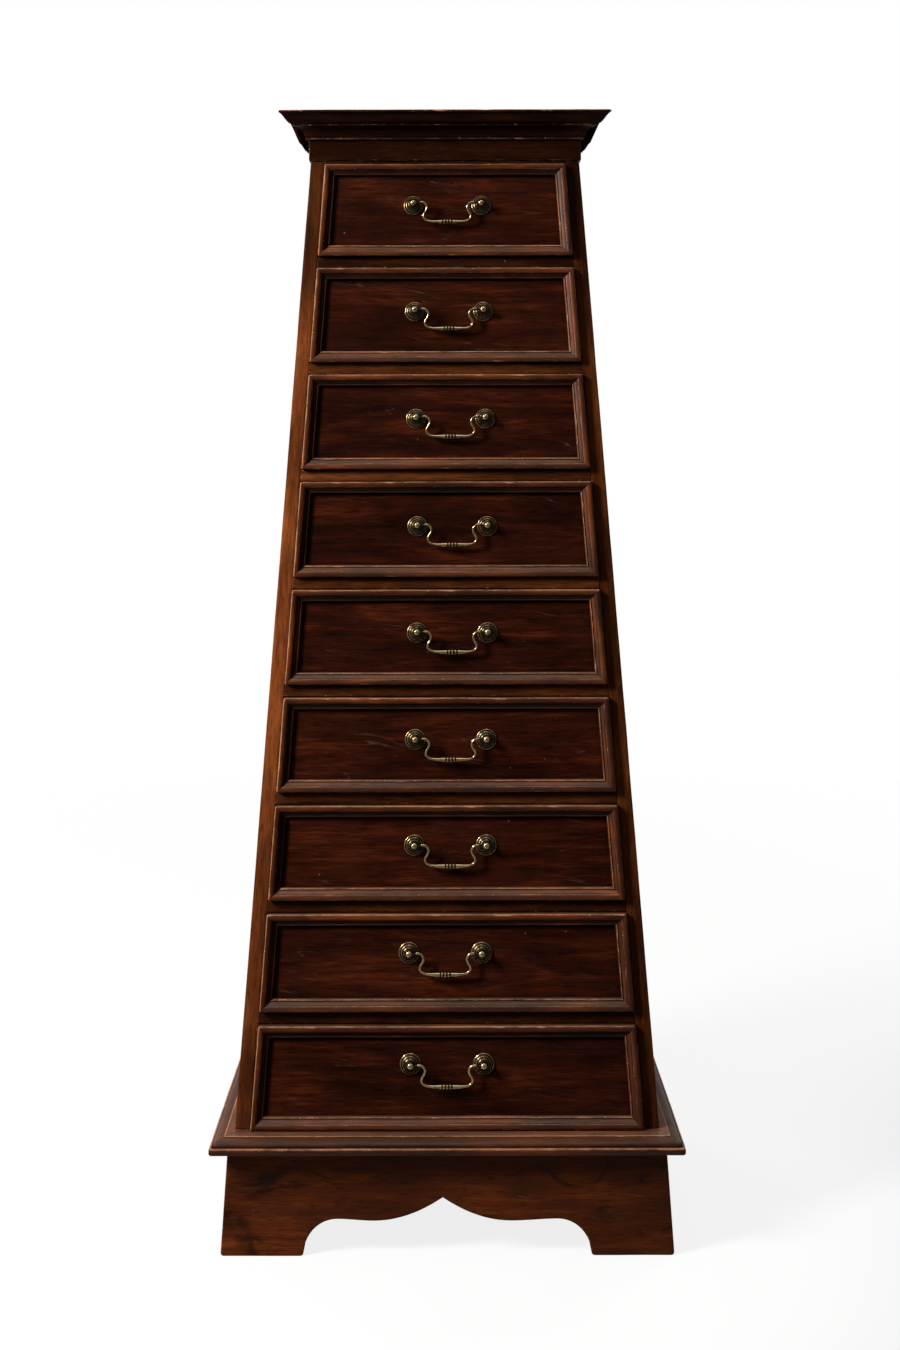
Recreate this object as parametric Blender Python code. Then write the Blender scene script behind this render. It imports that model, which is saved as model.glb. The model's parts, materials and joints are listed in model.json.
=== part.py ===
"""Pyramid chest of drawers.

A tall chest that narrows towards the top: its two sides lean in, its front leans back and its back is
flat against the wall. Nine drawers run in a leaning face frame. Each has a raised frame moulding and a
brass swan-neck bail on two turned posts. Metres, +Z up, the front faces -Y. The origin is on the
floor, under the middle of the chest's box.
"""
import math

import bmesh
import bpy
from mathutils import Matrix, Vector

# Case: the leaning body that holds the drawers
CASE_WIDTH = 0.559        # across the stiles, where the case meets the base
CASE_DEPTH = 0.360        # face frame to flat back, where the case meets the base
SIDE_LEAN = 0.066         # each side leans in by this much per metre of height
FRONT_LEAN = 0.144        # the front leans back by this much per metre of height
STILE_WIDTH = 0.020
RAIL_HEIGHT = 0.0155
TOP_RAIL_HEIGHT = 0.005
FACE_THICK = 0.020        # face frame, front to back
SIDE_THICK = 0.018
BACK_THICK = 0.008
FLOOR_THICK = 0.012       # case bottom
RUNNER_HEIGHT = 0.014
RUNNER_BEARING = 0.012    # how far a tray's edge lies on its runner
RUNNER_HOUSING = 0.004    # how deep a runner is let into the side board
RUNNER_SETBACK = 0.003    # behind the face frame

# Heights of the drawer openings, from the top down
DRAWER_1_HEIGHT = 0.1360
DRAWER_2_HEIGHT = 0.1370
DRAWER_3_HEIGHT = 0.1350
DRAWER_4_HEIGHT = 0.1330
DRAWER_5_HEIGHT = 0.1300
DRAWER_6_HEIGHT = 0.1270
DRAWER_7_HEIGHT = 0.1250
DRAWER_8_HEIGHT = 0.1265
DRAWER_9_HEIGHT = 0.1320

# Handles above the middle of their openings
HANDLE_1_RISE = 0.0070
HANDLE_2_RISE = 0.0050
HANDLE_3_RISE = 0.0040
HANDLE_4_RISE = 0.0035
HANDLE_5_RISE = 0.0050
HANDLE_6_RISE = 0.0060
HANDLE_7_RISE = 0.0085
HANDLE_8_RISE = 0.0110
HANDLE_9_RISE = 0.0150

# Handles to the right of the middle
HANDLE_1_SHIFT = 0.0030
HANDLE_2_SHIFT = 0.0050
HANDLE_3_SHIFT = 0.0070
HANDLE_4_SHIFT = 0.0090
HANDLE_5_SHIFT = 0.0085
HANDLE_6_SHIFT = 0.0060
HANDLE_7_SHIFT = 0.0050
HANDLE_8_SHIFT = -0.0020
HANDLE_9_SHIFT = 0.0000

# Drawers from the top down: opening height, then the handle's rise and shift
DRAWERS = (
    (DRAWER_1_HEIGHT, HANDLE_1_RISE, HANDLE_1_SHIFT),
    (DRAWER_2_HEIGHT, HANDLE_2_RISE, HANDLE_2_SHIFT),
    (DRAWER_3_HEIGHT, HANDLE_3_RISE, HANDLE_3_SHIFT),
    (DRAWER_4_HEIGHT, HANDLE_4_RISE, HANDLE_4_SHIFT),
    (DRAWER_5_HEIGHT, HANDLE_5_RISE, HANDLE_5_SHIFT),
    (DRAWER_6_HEIGHT, HANDLE_6_RISE, HANDLE_6_SHIFT),
    (DRAWER_7_HEIGHT, HANDLE_7_RISE, HANDLE_7_SHIFT),
    (DRAWER_8_HEIGHT, HANDLE_8_RISE, HANDLE_8_SHIFT),
    (DRAWER_9_HEIGHT, HANDLE_9_RISE, HANDLE_9_SHIFT),
)

# Drawer fronts and trays
FRONT_THICK = 0.018
FRONT_CLEAR = 0.001       # round a drawer front in its opening
FRAME_WIDTH = 0.016       # raised frame moulding on a drawer front
FRAME_RISE = 0.010
TRAY_WALL = 0.009
TRAY_FLOOR = 0.006
TRAY_CLEAR = 0.003        # beside a tray, at the top of its opening
TRAY_DROP = 0.012         # a tray's walls stop this far below the top of the opening
TRAY_BACK_CLEAR = 0.006

# Frame moulding from its outer edge to the panel, as shares of its width and rise
FRAME_PROFILE = (
    (0.00, 0.85), (0.12, 1.00), (0.22, 0.96), (0.38, 0.74), (0.65, 0.36),
    (0.75, 0.30), (0.85, 0.42), (0.95, 0.30), (1.00, 0.00),
)

# Handle: turned posts and the bail between them
POST_SPACING = 0.097
ROSETTE_RADIUS = 0.0145
ROSETTE_HEIGHT = 0.0064
NECK_RADIUS = 0.0032
BALL_RADIUS = 0.0052
BALL_REACH = 0.013        # ball's centre in front of the panel
SHANK_RADIUS = 0.002
SHANK_LENGTH = 0.012
SHANK_CLEAR = 0.0004
ROD_RADIUS = 0.0020
GRIP_RADIUS = 0.0038      # the rod swells to this in the middle of the bar
GRIP_HALF = 0.0235        # the swelling's half length
BAIL_DROP = 0.0275        # pins to the middle of the bar
PIN_CLEAR = 0.0003
PIN_SETBACK = 0.0008      # pin's end to the ball's centre
POST_SIDES = 12
BORE_SIDES = 8
ROD_SIDES = 6

# Stepped rosette from its rim to the neck, as shares of its radius and height
ROSETTE_PROFILE = ((1.00, 0.25), (0.83, 0.36), (0.77, 0.55), (0.56, 0.66), (0.46, 0.92))
BALL_LATITUDES = (-18, 12, 40, 66)

# Swan neck: distance in from the post's axis in metres, then the drop as a share of the bail's drop
SWAN_NECK = (
    (0.0115, -0.04), (0.0165, 0.01), (0.0192, 0.14), (0.0182, 0.33),
    (0.0155, 0.54), (0.0152, 0.73), (0.0185, 0.87), (0.0245, 0.945), (0.0340, 0.98),
)

# Frieze, crown and top
FRIEZE_HEIGHT = 0.0295    # the plain band that shows
FRIEZE_THICK = 0.018
FRIEZE_PROUD = 0.0025     # the frieze stands this far out from the case
CROWN_HEIGHT = 0.035
CROWN_REACH = 0.040       # at the front
SIDE_CROWN_REACH = 0.0304
TOP_THICK = 0.012

# Crown from the frieze's face to its lip, as shares of its reach and height
CROWN_PROFILE = (
    (0.10, 0.00), (0.10, 0.09), (0.16, 0.11), (0.22, 0.22), (0.36, 0.37), (0.57, 0.48),
    (0.60, 0.54), (0.64, 0.55), (0.72, 0.66), (0.86, 0.79), (0.95, 0.86), (1.00, 0.88), (1.00, 1.00),
)

# Base moulding: a frame that the case stands on
BASE_HEIGHT = 0.018
SIDE_LEDGE = 0.029        # base moulding's edge beyond the case, at the sides
FRONT_LEDGE = 0.040       # and at the front
SIDE_STRIP = 0.042        # width of the frame's side strips
FRONT_STRIP = 0.080       # and of its front strip
FILLET_HEIGHT = 0.0095    # square edge under the quarter round
FILLET_STEP = 0.003
OVOLO_REACH = 0.015       # quarter round
OVOLO_STEPS = 4

# Plinth with bracket feet
PLINTH_HEIGHT = 0.140
PLINTH_INSET = 0.022      # under the base moulding's edge
PLINTH_FLARE = 0.070      # the plinth's sides spread by this much per metre, downwards
PLINTH_THICK = 0.018
FOOT_WIDTH = 0.108        # front feet, on the floor
SIDE_FOOT_WIDTH = 0.080   # feet of the side boards
FOOT_CURVE = 0.044        # length of the curve from a foot to the apron
APRON_CLEAR = 0.047       # floor to the apron's straight edge
APRON_PEAK = 0.0758       # floor to the apron's point
PEAK_SHIFT = -0.006       # from the middle to that point
PEAK_HALF = 0.080         # half length of the rise to it
PEAK_BEND = 1.05          # 1 ends the rise steeply, 3 ends it level
CURVE_STEPS = 6

# Gaps that keep neighbours apart
JOINT_GAP = 0.0003
SEAT_GAP = 0.0003
MITRE_GAP = 0.0006        # along the run of the crown

# Edges sharper than these angles stay sharp when a round piece is shaded smooth
POST_SHARP = 40
BAIL_SHARP = 50

# What follows from the sizes above
BASE_HALF = CASE_WIDTH / 2 + SIDE_LEDGE
BASE_DEPTH = CASE_DEPTH + FRONT_LEDGE
BASE_FRONT = -BASE_DEPTH / 2
BACK_Y = BASE_DEPTH / 2
FACE_FRONT = BASE_FRONT + FRONT_LEDGE
CASE_FLOOR = PLINTH_HEIGHT + BASE_HEIGHT
CASE_HEIGHT = sum(height for height, _, _ in DRAWERS) + (len(DRAWERS) - 1) * RAIL_HEIGHT + TOP_RAIL_HEIGHT
CASE_TOP = CASE_FLOOR + CASE_HEIGHT
CHEST_TOP = CASE_TOP + FRIEZE_HEIGHT + CROWN_HEIGHT
FLOOR_TOP = CASE_FLOOR + JOINT_GAP + FLOOR_THICK
LEAN_ANGLE = math.atan(FRONT_LEAN)

# Finishes: colour as it looks on screen, roughness and metallic value
FINISHES = {
    "case_mahogany": ((84, 46, 23), 0.42, 0.0),
    "drawer_mahogany": ((66, 31, 18), 0.34, 0.0),
    "plinth_mahogany": ((82, 44, 20), 0.45, 0.0),
    "lining_wood": ((150, 112, 72), 0.70, 0.0),
    "antique_brass": ((122, 100, 56), 0.32, 1.0),
}


def half_width(z):
    """Half the width of the case at a height."""
    return CASE_WIDTH / 2 - SIDE_LEAN * (z - CASE_FLOOR)


def face_y(z):
    """Front of the face frame at a height."""
    return FACE_FRONT + FRONT_LEAN * (z - CASE_FLOOR)


def opening_levels():
    """Bottom and top of each drawer opening, from the top drawer down."""
    levels = []
    top = CASE_TOP - TOP_RAIL_HEIGHT
    for height, _, _ in DRAWERS:
        levels.append((top - height, top))
        top -= height + RAIL_HEIGHT
    return levels


def tray_half(level):
    """Half the width of the tray that passes through an opening."""
    return half_width(level[1]) - STILE_WIDTH - TRAY_CLEAR


def seat_height(index, level):
    """Top of what carries a drawer: its runners, or the case bottom for the lowest one."""
    if index == len(DRAWERS) - 1:
        return FLOOR_TOP
    return level[0]


def linear(channel):
    """One 8-bit screen colour channel as linear light."""
    value = channel / 255
    if value <= 0.04045:
        return value / 12.92
    return ((value + 0.055) / 1.055) ** 2.4


def make_finishes():
    """One Principled material for each finish."""
    made = {}
    for name, (colour, roughness, metallic) in FINISHES.items():
        material = bpy.data.materials.new(name)
        material.use_nodes = True
        shader = material.node_tree.nodes["Principled BSDF"]
        shader.inputs["Base Color"].default_value = (*[linear(channel) for channel in colour], 1.0)
        shader.inputs["Roughness"].default_value = roughness
        shader.inputs["Metallic"].default_value = metallic
        made[name] = material
    return made


def mesh_object(name, bm, parent=None, origin=(0, 0, 0)):
    """Turn a bmesh in world coordinates into an object whose origin lies at a given point."""
    bmesh.ops.recalc_face_normals(bm, faces=bm.faces)
    bmesh.ops.translate(bm, verts=bm.verts, vec=-Vector(origin))
    mesh = bpy.data.meshes.new(name)
    bm.to_mesh(mesh)
    bm.free()
    return place(name, mesh, parent, Matrix.Translation(origin))


def place(name, mesh, parent, matrix):
    """Add a mesh to the scene at a world matrix, under a parent that is only moved, never turned."""
    obj = bpy.data.objects.new(name, mesh)
    bpy.context.scene.collection.objects.link(obj)
    if parent:
        obj.parent = parent
        matrix = Matrix.Translation(-parent.location) @ matrix
    obj.matrix_basis = matrix
    return obj


def finish(obj, material):
    """Give an object its one material."""
    obj.data.materials.clear()
    obj.data.materials.append(material)


def loft(rings):
    """Closed body through rings of equal length, with a flat cap at each end."""
    bm = bmesh.new()
    loops = [[bm.verts.new(point) for point in ring] for ring in rings]
    for near, far in zip(loops, loops[1:]):
        for i in range(len(near)):
            j = (i + 1) % len(near)
            bm.faces.new((near[i], near[j], far[j], far[i]))
    bm.faces.new(loops[0][::-1])
    bm.faces.new(loops[-1])
    return bm


def box_rings(x0, x1, y0, y1, z0, z1):
    """Two rings of an upright box."""
    outline = ((x0, y0), (x1, y0), (x1, y1), (x0, y1))
    return [[(x, y, z) for x, y in outline] for z in (z0, z1)]


def turned(profile, sides):
    """Closed body turned about +Z from (radius, height) points that start and end on the axis."""
    bm = bmesh.new()
    start = bm.verts.new((0, 0, profile[0][1]))
    end = bm.verts.new((0, 0, profile[-1][1]))
    rings = []
    for radius, height in profile[1:-1]:
        ring = []
        for i in range(sides):
            angle = 2 * math.pi * i / sides
            ring.append(bm.verts.new((radius * math.cos(angle), radius * math.sin(angle), height)))
        rings.append(ring)
    for i in range(sides):
        j = (i + 1) % sides
        bm.faces.new((start, rings[0][j], rings[0][i]))
        bm.faces.new((end, rings[-1][i], rings[-1][j]))
        for near, far in zip(rings, rings[1:]):
            bm.faces.new((near[i], near[j], far[j], far[i]))
    return bm


def combine(obj, bm, operation):
    """Join a second body, in world coordinates, to an object or cut it away, and keep the result."""
    tool = mesh_object(obj.name + "_tool", bm)
    modifier = obj.modifiers.new(operation.lower(), "BOOLEAN")
    modifier.operation = operation
    modifier.solver = "EXACT"
    modifier.object = tool
    bpy.context.view_layer.update()
    depsgraph = bpy.context.evaluated_depsgraph_get()
    result = bpy.data.meshes.new_from_object(obj.evaluated_get(depsgraph))
    obj.modifiers.clear()
    obj.data = result
    bpy.data.objects.remove(tool)


def merge_bodies(parts):
    """Put several separate bodies into one bmesh."""
    joined = bmesh.new()
    for bm in parts:
        mesh = bpy.data.meshes.new("part_of_tool")
        bm.to_mesh(mesh)
        bm.free()
        joined.from_mesh(mesh)
        bpy.data.meshes.remove(mesh)
    return joined


def smooth(obj, angle):
    """Shade a round piece smooth, with its real edges kept sharp."""
    obj.data.shade_smooth()
    obj.data.set_sharp_from_angle(angle=math.radians(angle))


# Case

def face_frame():
    """Two stiles and the rails between the drawers, glued up as one leaning frame."""
    heights = [CASE_FLOOR + JOINT_GAP]
    for bottom, top in reversed(opening_levels()):
        if len(heights) > 1:
            heights.append(bottom)
        heights.append(top)
    heights.append(CASE_TOP)
    bm = bmesh.new()
    grid = []
    for z in heights:
        outer = half_width(z)
        inner = outer - STILE_WIDTH
        row = []
        for x in (-outer, -inner, inner, outer):
            front = bm.verts.new((x, face_y(z), z))
            back = bm.verts.new((x, face_y(z) + FACE_THICK, z))
            row.append((front, back))
        grid.append(row)
    last = len(heights) - 1
    for i in range(last):
        low = grid[i]
        high = grid[i + 1]
        is_rail = i % 2 == 1
        for column in ((0, 1, 2) if is_rail else (0, 2)):
            for side in (0, 1):
                bm.faces.new((low[column][side], low[column + 1][side],
                              high[column + 1][side], high[column][side]))
        for column in ((0, 3) if is_rail else (0, 1, 2, 3)):
            bm.faces.new((low[column][0], low[column][1], high[column][1], high[column][0]))
        if is_rail:
            for row in (low, high):
                if row is not grid[last]:
                    bm.faces.new((row[1][0], row[2][0], row[2][1], row[1][1]))
    for row, columns in ((grid[0], (0, 2)), (grid[last], (0, 1, 2))):
        for column in columns:
            bm.faces.new((row[column][0], row[column + 1][0], row[column + 1][1], row[column][1]))
    return mesh_object("face_frame", bm)


def side_board(name, sign):
    """Leaning side board with the drawer runners glued into its inner face."""
    rings = []
    for z in (CASE_FLOOR + JOINT_GAP, CASE_TOP):
        outer = sign * half_width(z)
        inner = sign * (half_width(z) - SIDE_THICK)
        front = face_y(z) + FACE_THICK + JOINT_GAP
        rings.append([(outer, front, z), (inner, front, z), (inner, BACK_Y, z), (outer, BACK_Y, z)])
    board = mesh_object(name, loft(rings))
    runners = []
    for level in opening_levels()[:-1]:
        top = level[0]
        inner = tray_half(level) - RUNNER_BEARING
        outer = half_width(top) - SIDE_THICK + RUNNER_HOUSING
        front = face_y(top) + FACE_THICK + RUNNER_SETBACK
        back = BACK_Y - BACK_THICK - JOINT_GAP
        x0, x1 = sorted((sign * inner, sign * outer))
        runners.append(loft(box_rings(x0, x1, front, back, top - RUNNER_HEIGHT, top)))
    combine(board, merge_bodies(runners), "UNION")
    return board


def case_bottom():
    """Board that carries the lowest drawer."""
    rings = []
    for z in (CASE_FLOOR + JOINT_GAP, FLOOR_TOP):
        half = half_width(z) - SIDE_THICK - JOINT_GAP
        front = face_y(z) + FACE_THICK + JOINT_GAP
        back = BACK_Y - BACK_THICK - JOINT_GAP
        rings.append([(-half, front, z), (half, front, z), (half, back, z), (-half, back, z)])
    return mesh_object("case_bottom", loft(rings))


def back_panel():
    """Thin panel between the side boards, from the plinth's back to the top board."""
    rings = []
    for z in (CASE_FLOOR + JOINT_GAP, CHEST_TOP - TOP_THICK - JOINT_GAP):
        half = half_width(z) - SIDE_THICK - JOINT_GAP
        front = BACK_Y - BACK_THICK
        rings.append([(-half, front, z), (half, front, z), (half, BACK_Y, z), (-half, BACK_Y, z)])
    return mesh_object("back_panel", loft(rings))


# Mouldings that run along the left side, across the front and along the right side

def wrap_rings(profile, half, front):
    """Rings at the back left, front left, front right and back right of a wrapped moulding.

    A profile point is its inset from the outer edge at the sides and at the front, and its height.
    """
    return [
        [(-(half - side), BACK_Y, z) for side, _, z in profile],
        [(-(half - side), front + face, z) for side, face, z in profile],
        [(half - side, front + face, z) for side, face, z in profile],
        [(half - side, BACK_Y, z) for side, _, z in profile],
    ]


def frieze_outline():
    """Half width and front of the frieze."""
    return half_width(CASE_TOP) + FRIEZE_PROUD, face_y(CASE_TOP) - FRIEZE_PROUD


def frieze():
    """Upright band round the top of the case, mitred and glued, which carries the crown and top."""
    low = CASE_TOP + JOINT_GAP
    high = CHEST_TOP - TOP_THICK - JOINT_GAP
    profile = [(0, 0, low), (FRIEZE_THICK, FRIEZE_THICK, low),
               (FRIEZE_THICK, FRIEZE_THICK, high), (0, 0, high)]
    half, front = frieze_outline()
    return mesh_object("frieze", loft(wrap_rings(profile, half, front)))


def crown_rings(reach, mitre_gap):
    """Rings of the crown at a reach, with its front corners a gap behind the mitre."""
    half, front = frieze_outline()
    bottom = CHEST_TOP - CROWN_HEIGHT
    outline = [(JOINT_GAP / reach, 0.0), *CROWN_PROFILE, (JOINT_GAP / reach, 1.0)]
    profile = []
    for share, rise in outline:
        inset = reach * (1 - share)
        profile.append((inset, inset, bottom + CROWN_HEIGHT * rise))
    return wrap_rings(profile, half + reach, front - reach + mitre_gap)


def crown():
    """Crown moulding in three mitred lengths, of which the front one reaches out further."""
    across = crown_rings(CROWN_REACH, 0.0)
    along = crown_rings(SIDE_CROWN_REACH, MITRE_GAP)
    lengths = {
        "crown_left": (along[0], along[1]),
        "crown_front": (across[1], across[2]),
        "crown_right": (along[2], along[3]),
    }
    return [mesh_object(name, loft(pair)) for name, pair in lengths.items()]


def top_board():
    """Board that closes the top, level with the crown's lip."""
    half, front = frieze_outline()
    rings = box_rings(-half, half, front, BACK_Y, CHEST_TOP - TOP_THICK, CHEST_TOP)
    return mesh_object("top_board", loft(rings))


def base_moulding():
    """Mitred frame with a quarter round over a square edge, which the case stands on."""
    low = PLINTH_HEIGHT
    high = CASE_FLOOR
    ovolo_low = low + FILLET_HEIGHT + JOINT_GAP
    profile = [(SIDE_STRIP, FRONT_STRIP, low), (0, 0, low), (0, 0, low + FILLET_HEIGHT),
               (FILLET_STEP, FILLET_STEP, low + FILLET_HEIGHT)]
    for i in range(OVOLO_STEPS + 1):
        angle = math.pi / 2 * i / OVOLO_STEPS
        inset = FILLET_STEP + OVOLO_REACH * (1 - math.cos(angle))
        profile.append((inset, inset, ovolo_low + (high - ovolo_low) * math.sin(angle)))
    profile.append((SIDE_STRIP, FRONT_STRIP, high))
    return mesh_object("base_moulding", loft(wrap_rings(profile, BASE_HALF, BASE_FRONT)))


# Plinth

def plinth_half(z):
    """Half the width of the plinth at a height."""
    return BASE_HALF - PLINTH_INSET + PLINTH_FLARE * (PLINTH_HEIGHT - z)


def foot_curve(foot_edge):
    """Lower edge from the inside of a foot up to the apron, towards smaller x."""
    points = []
    for i in range(CURVE_STEPS + 1):
        angle = math.pi / 2 * i / CURVE_STEPS
        points.append((foot_edge - FOOT_CURVE * (1 - math.cos(angle)), APRON_CLEAR * math.sin(angle)))
    return points


def peak_curve():
    """Right half of the rise to the apron's point, which starts level and ends on a slope."""
    points = []
    for i in range(CURVE_STEPS + 1):
        share = i / CURVE_STEPS
        rise = PEAK_BEND * share ** 2 + (1 - PEAK_BEND) * share ** 3
        points.append((PEAK_HALF * (1 - share), APRON_CLEAR + (APRON_PEAK - APRON_CLEAR) * rise))
    return points


def plinth_outline(sign):
    """Half of the front board's outline, from its top corner round to the apron's point."""
    top = PLINTH_HEIGHT - JOINT_GAP
    foot = [(plinth_half(top), top), (plinth_half(0), 0)] + foot_curve(plinth_half(0) - FOOT_WIDTH)
    return [(sign * x, z) for x, z in foot] + [(PEAK_SHIFT + sign * x, z) for x, z in peak_curve()]


def plinth_front():
    """Front board with bracket feet and a shaped apron."""
    left = plinth_outline(-1)
    right = plinth_outline(1)
    outline = right + left[-2::-1]
    front = BASE_FRONT + PLINTH_INSET
    rings = [[(x, y, z) for x, z in outline] for y in (front, front + PLINTH_THICK)]
    return mesh_object("plinth_front", loft(rings))


def plinth_side(name, sign):
    """Side board of the plinth, spreading towards the floor, with a foot at each end."""
    front = BASE_FRONT + PLINTH_INSET + PLINTH_THICK + JOINT_GAP
    middle = (front + BACK_Y) / 2
    half = (BACK_Y - front) / 2
    top = PLINTH_HEIGHT - JOINT_GAP
    rear = [(half, top), (half, 0)] + foot_curve(half - SIDE_FOOT_WIDTH)
    outline = rear + [(-y, z) for y, z in reversed(rear)]
    rings = []
    for depth in (0, PLINTH_THICK):
        rings.append([(sign * (plinth_half(z) - depth), middle + y, z) for y, z in outline])
    return mesh_object(name, loft(rings))


def plinth_back():
    """Plain back board between the plinth's sides, standing up between the base moulding's strips."""
    shoulder = PLINTH_HEIGHT - JOINT_GAP
    low = plinth_half(0) - PLINTH_THICK - JOINT_GAP
    high = plinth_half(shoulder) - PLINTH_THICK - JOINT_GAP
    neck = min(high, BASE_HALF - SIDE_STRIP - JOINT_GAP)
    right = [(low, 0), (high, shoulder), (neck, shoulder), (neck, CASE_FLOOR)]
    outline = right + [(-x, z) for x, z in reversed(right)]
    rings = [[(x, y, z) for x, z in outline] for y in (BACK_Y - PLINTH_THICK, BACK_Y)]
    return mesh_object("plinth_back", loft(rings))


# Drawers

def drawer_front(name, level, parent):
    """Leaning front board with its raised frame moulding, in one ring for each step of the profile."""
    bottom = level[0] + FRONT_CLEAR
    top = level[1] - FRONT_CLEAR
    steps = [(0.0, -FRONT_THICK)]
    steps += [(FRAME_WIDTH * inset, FRAME_RISE * rise) for inset, rise in FRAME_PROFILE]
    slant = math.hypot(1, SIDE_LEAN)
    rings = []
    for inset, rise in steps:
        ring = []
        for sign, z in ((-1, bottom + inset), (1, bottom + inset), (1, top - inset), (-1, top - inset)):
            half = half_width(z) - STILE_WIDTH - FRONT_CLEAR - inset * slant
            ring.append((sign * half, face_y(z) - rise, z))
        rings.append(ring)
    return mesh_object(name, loft(rings), parent, parent.location)


def drawer_tray(name, index, level, parent):
    """Two sides, a back and a bottom, glued up behind the drawer front and open at the top."""
    half = tray_half(level)
    low = seat_height(index, level) + SEAT_GAP
    high = level[1] - TRAY_DROP
    back = BACK_Y - BACK_THICK - TRAY_BACK_CLEAR
    bm = bmesh.new()

    def corner(x, z, y=None):
        front = face_y(z) + FRONT_THICK + JOINT_GAP
        return bm.verts.new((x, front if y is None else y, z))

    inside = half - TRAY_WALL
    floor = low + TRAY_FLOOR
    front_edge = [corner(-half, low), corner(half, low), corner(half, high), corner(inside, high),
                  corner(inside, floor), corner(-inside, floor), corner(-inside, high), corner(-half, high)]
    rear = [corner(-half, low, back), corner(half, low, back),
            corner(half, high, back), corner(-half, high, back)]
    wall = back - TRAY_WALL
    hollow = [corner(-inside, floor, wall), corner(inside, floor, wall),
              corner(inside, high, wall), corner(-inside, high, wall)]
    low_left, low_right, high_right, in_right, floor_right, floor_left, in_left, high_left = front_edge
    bm.faces.new(front_edge)
    bm.faces.new(rear)
    bm.faces.new(hollow)
    bm.faces.new((low_left, low_right, rear[1], rear[0]))
    bm.faces.new((low_right, high_right, rear[2], rear[1]))
    bm.faces.new((low_left, high_left, rear[3], rear[0]))
    bm.faces.new((floor_left, floor_right, hollow[1], hollow[0]))
    bm.faces.new((floor_right, in_right, hollow[2], hollow[1]))
    bm.faces.new((floor_left, in_left, hollow[3], hollow[0]))
    bm.faces.new((high_left, in_left, hollow[3], hollow[2], in_right, high_right, rear[2], rear[3]))
    return mesh_object(name, bm, parent, parent.location)


def handle_point(index, level):
    """Point of the panel midway between a handle's two posts."""
    _, rise, shift = DRAWERS[index]
    z = (level[0] + level[1]) / 2 + rise
    return Vector((shift, face_y(z), z))


def panel_normal():
    """Direction out of the leaning front."""
    return Vector((0, -math.cos(LEAN_ANGLE), math.sin(LEAN_ANGLE)))


def post_matrix(point, side):
    """World matrix that stands a turned post on the panel, with its bore towards the bail."""
    x = side * POST_SPACING / 2
    turn = Matrix.Rotation(math.pi / 2 - LEAN_ANGLE, 4, "X")
    face_in = Matrix.Rotation(math.pi if side > 0 else 0, 4, "Z")
    return Matrix.Translation(point + Vector((x, 0, 0))) @ turn @ face_in


def post_mesh():
    """Turned rosette, neck and ball with a shank behind and a bore for the bail's pin on the +X side."""
    profile = [(0, -SHANK_LENGTH), (SHANK_RADIUS, -SHANK_LENGTH), (SHANK_RADIUS, SEAT_GAP),
               (ROSETTE_RADIUS, SEAT_GAP)]
    profile += [(ROSETTE_RADIUS * r, ROSETTE_HEIGHT * h) for r, h in ROSETTE_PROFILE]
    profile.append((NECK_RADIUS, ROSETTE_HEIGHT))
    profile.append((NECK_RADIUS, BALL_REACH - math.sqrt(BALL_RADIUS ** 2 - NECK_RADIUS ** 2)))
    for latitude in BALL_LATITUDES:
        angle = math.radians(latitude)
        profile.append((BALL_RADIUS * math.cos(angle), BALL_REACH + BALL_RADIUS * math.sin(angle)))
    profile.append((0, BALL_REACH + BALL_RADIUS))
    post = mesh_object("post", turned(profile, POST_SIDES))
    bore = turned([(0, 0), (ROD_RADIUS + PIN_CLEAR, 0), (ROD_RADIUS + PIN_CLEAR, 2 * BALL_RADIUS),
                   (0, 2 * BALL_RADIUS)], BORE_SIDES)
    along_x = Matrix.Translation((0, 0, BALL_REACH)) @ Matrix.Rotation(math.pi / 2, 4, "Y")
    bmesh.ops.transform(bore, matrix=along_x, verts=bore.verts)
    combine(post, bore, "DIFFERENCE")
    smooth(post, POST_SHARP)
    mesh = post.data
    bpy.data.objects.remove(post)
    return mesh


def shank_holes(point):
    """Blind holes in a drawer front for the shanks of its two posts."""
    depth = SHANK_LENGTH + SHANK_CLEAR
    holes = []
    for side in (-1, 1):
        hole = turned([(0, -depth), (SHANK_RADIUS + SHANK_CLEAR, -depth),
                       (SHANK_RADIUS + SHANK_CLEAR, SHANK_LENGTH), (0, SHANK_LENGTH)], BORE_SIDES)
        bmesh.ops.transform(hole, matrix=post_matrix(point, side), verts=hole.verts)
        holes.append(hole)
    return merge_bodies(holes)


def bail_path():
    """Points of the bail from its left pin to its right pin, about the pins' axis."""
    half = POST_SPACING / 2
    left = [(-half + PIN_SETBACK, 0.0), (-half + BALL_RADIUS + ROD_RADIUS, 0.0)]
    left += [(-half + inward, -BAIL_DROP * share) for inward, share in SWAN_NECK]
    return left + [(0.0, -BAIL_DROP)] + [(-x, z) for x, z in reversed(left)]


def bail_radius(x):
    """Radius of the bail's rod, which swells in the middle of the bar."""
    share = min(abs(x) / GRIP_HALF, 1.0)
    return ROD_RADIUS + (GRIP_RADIUS - ROD_RADIUS) * (1 - share ** 2)


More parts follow.
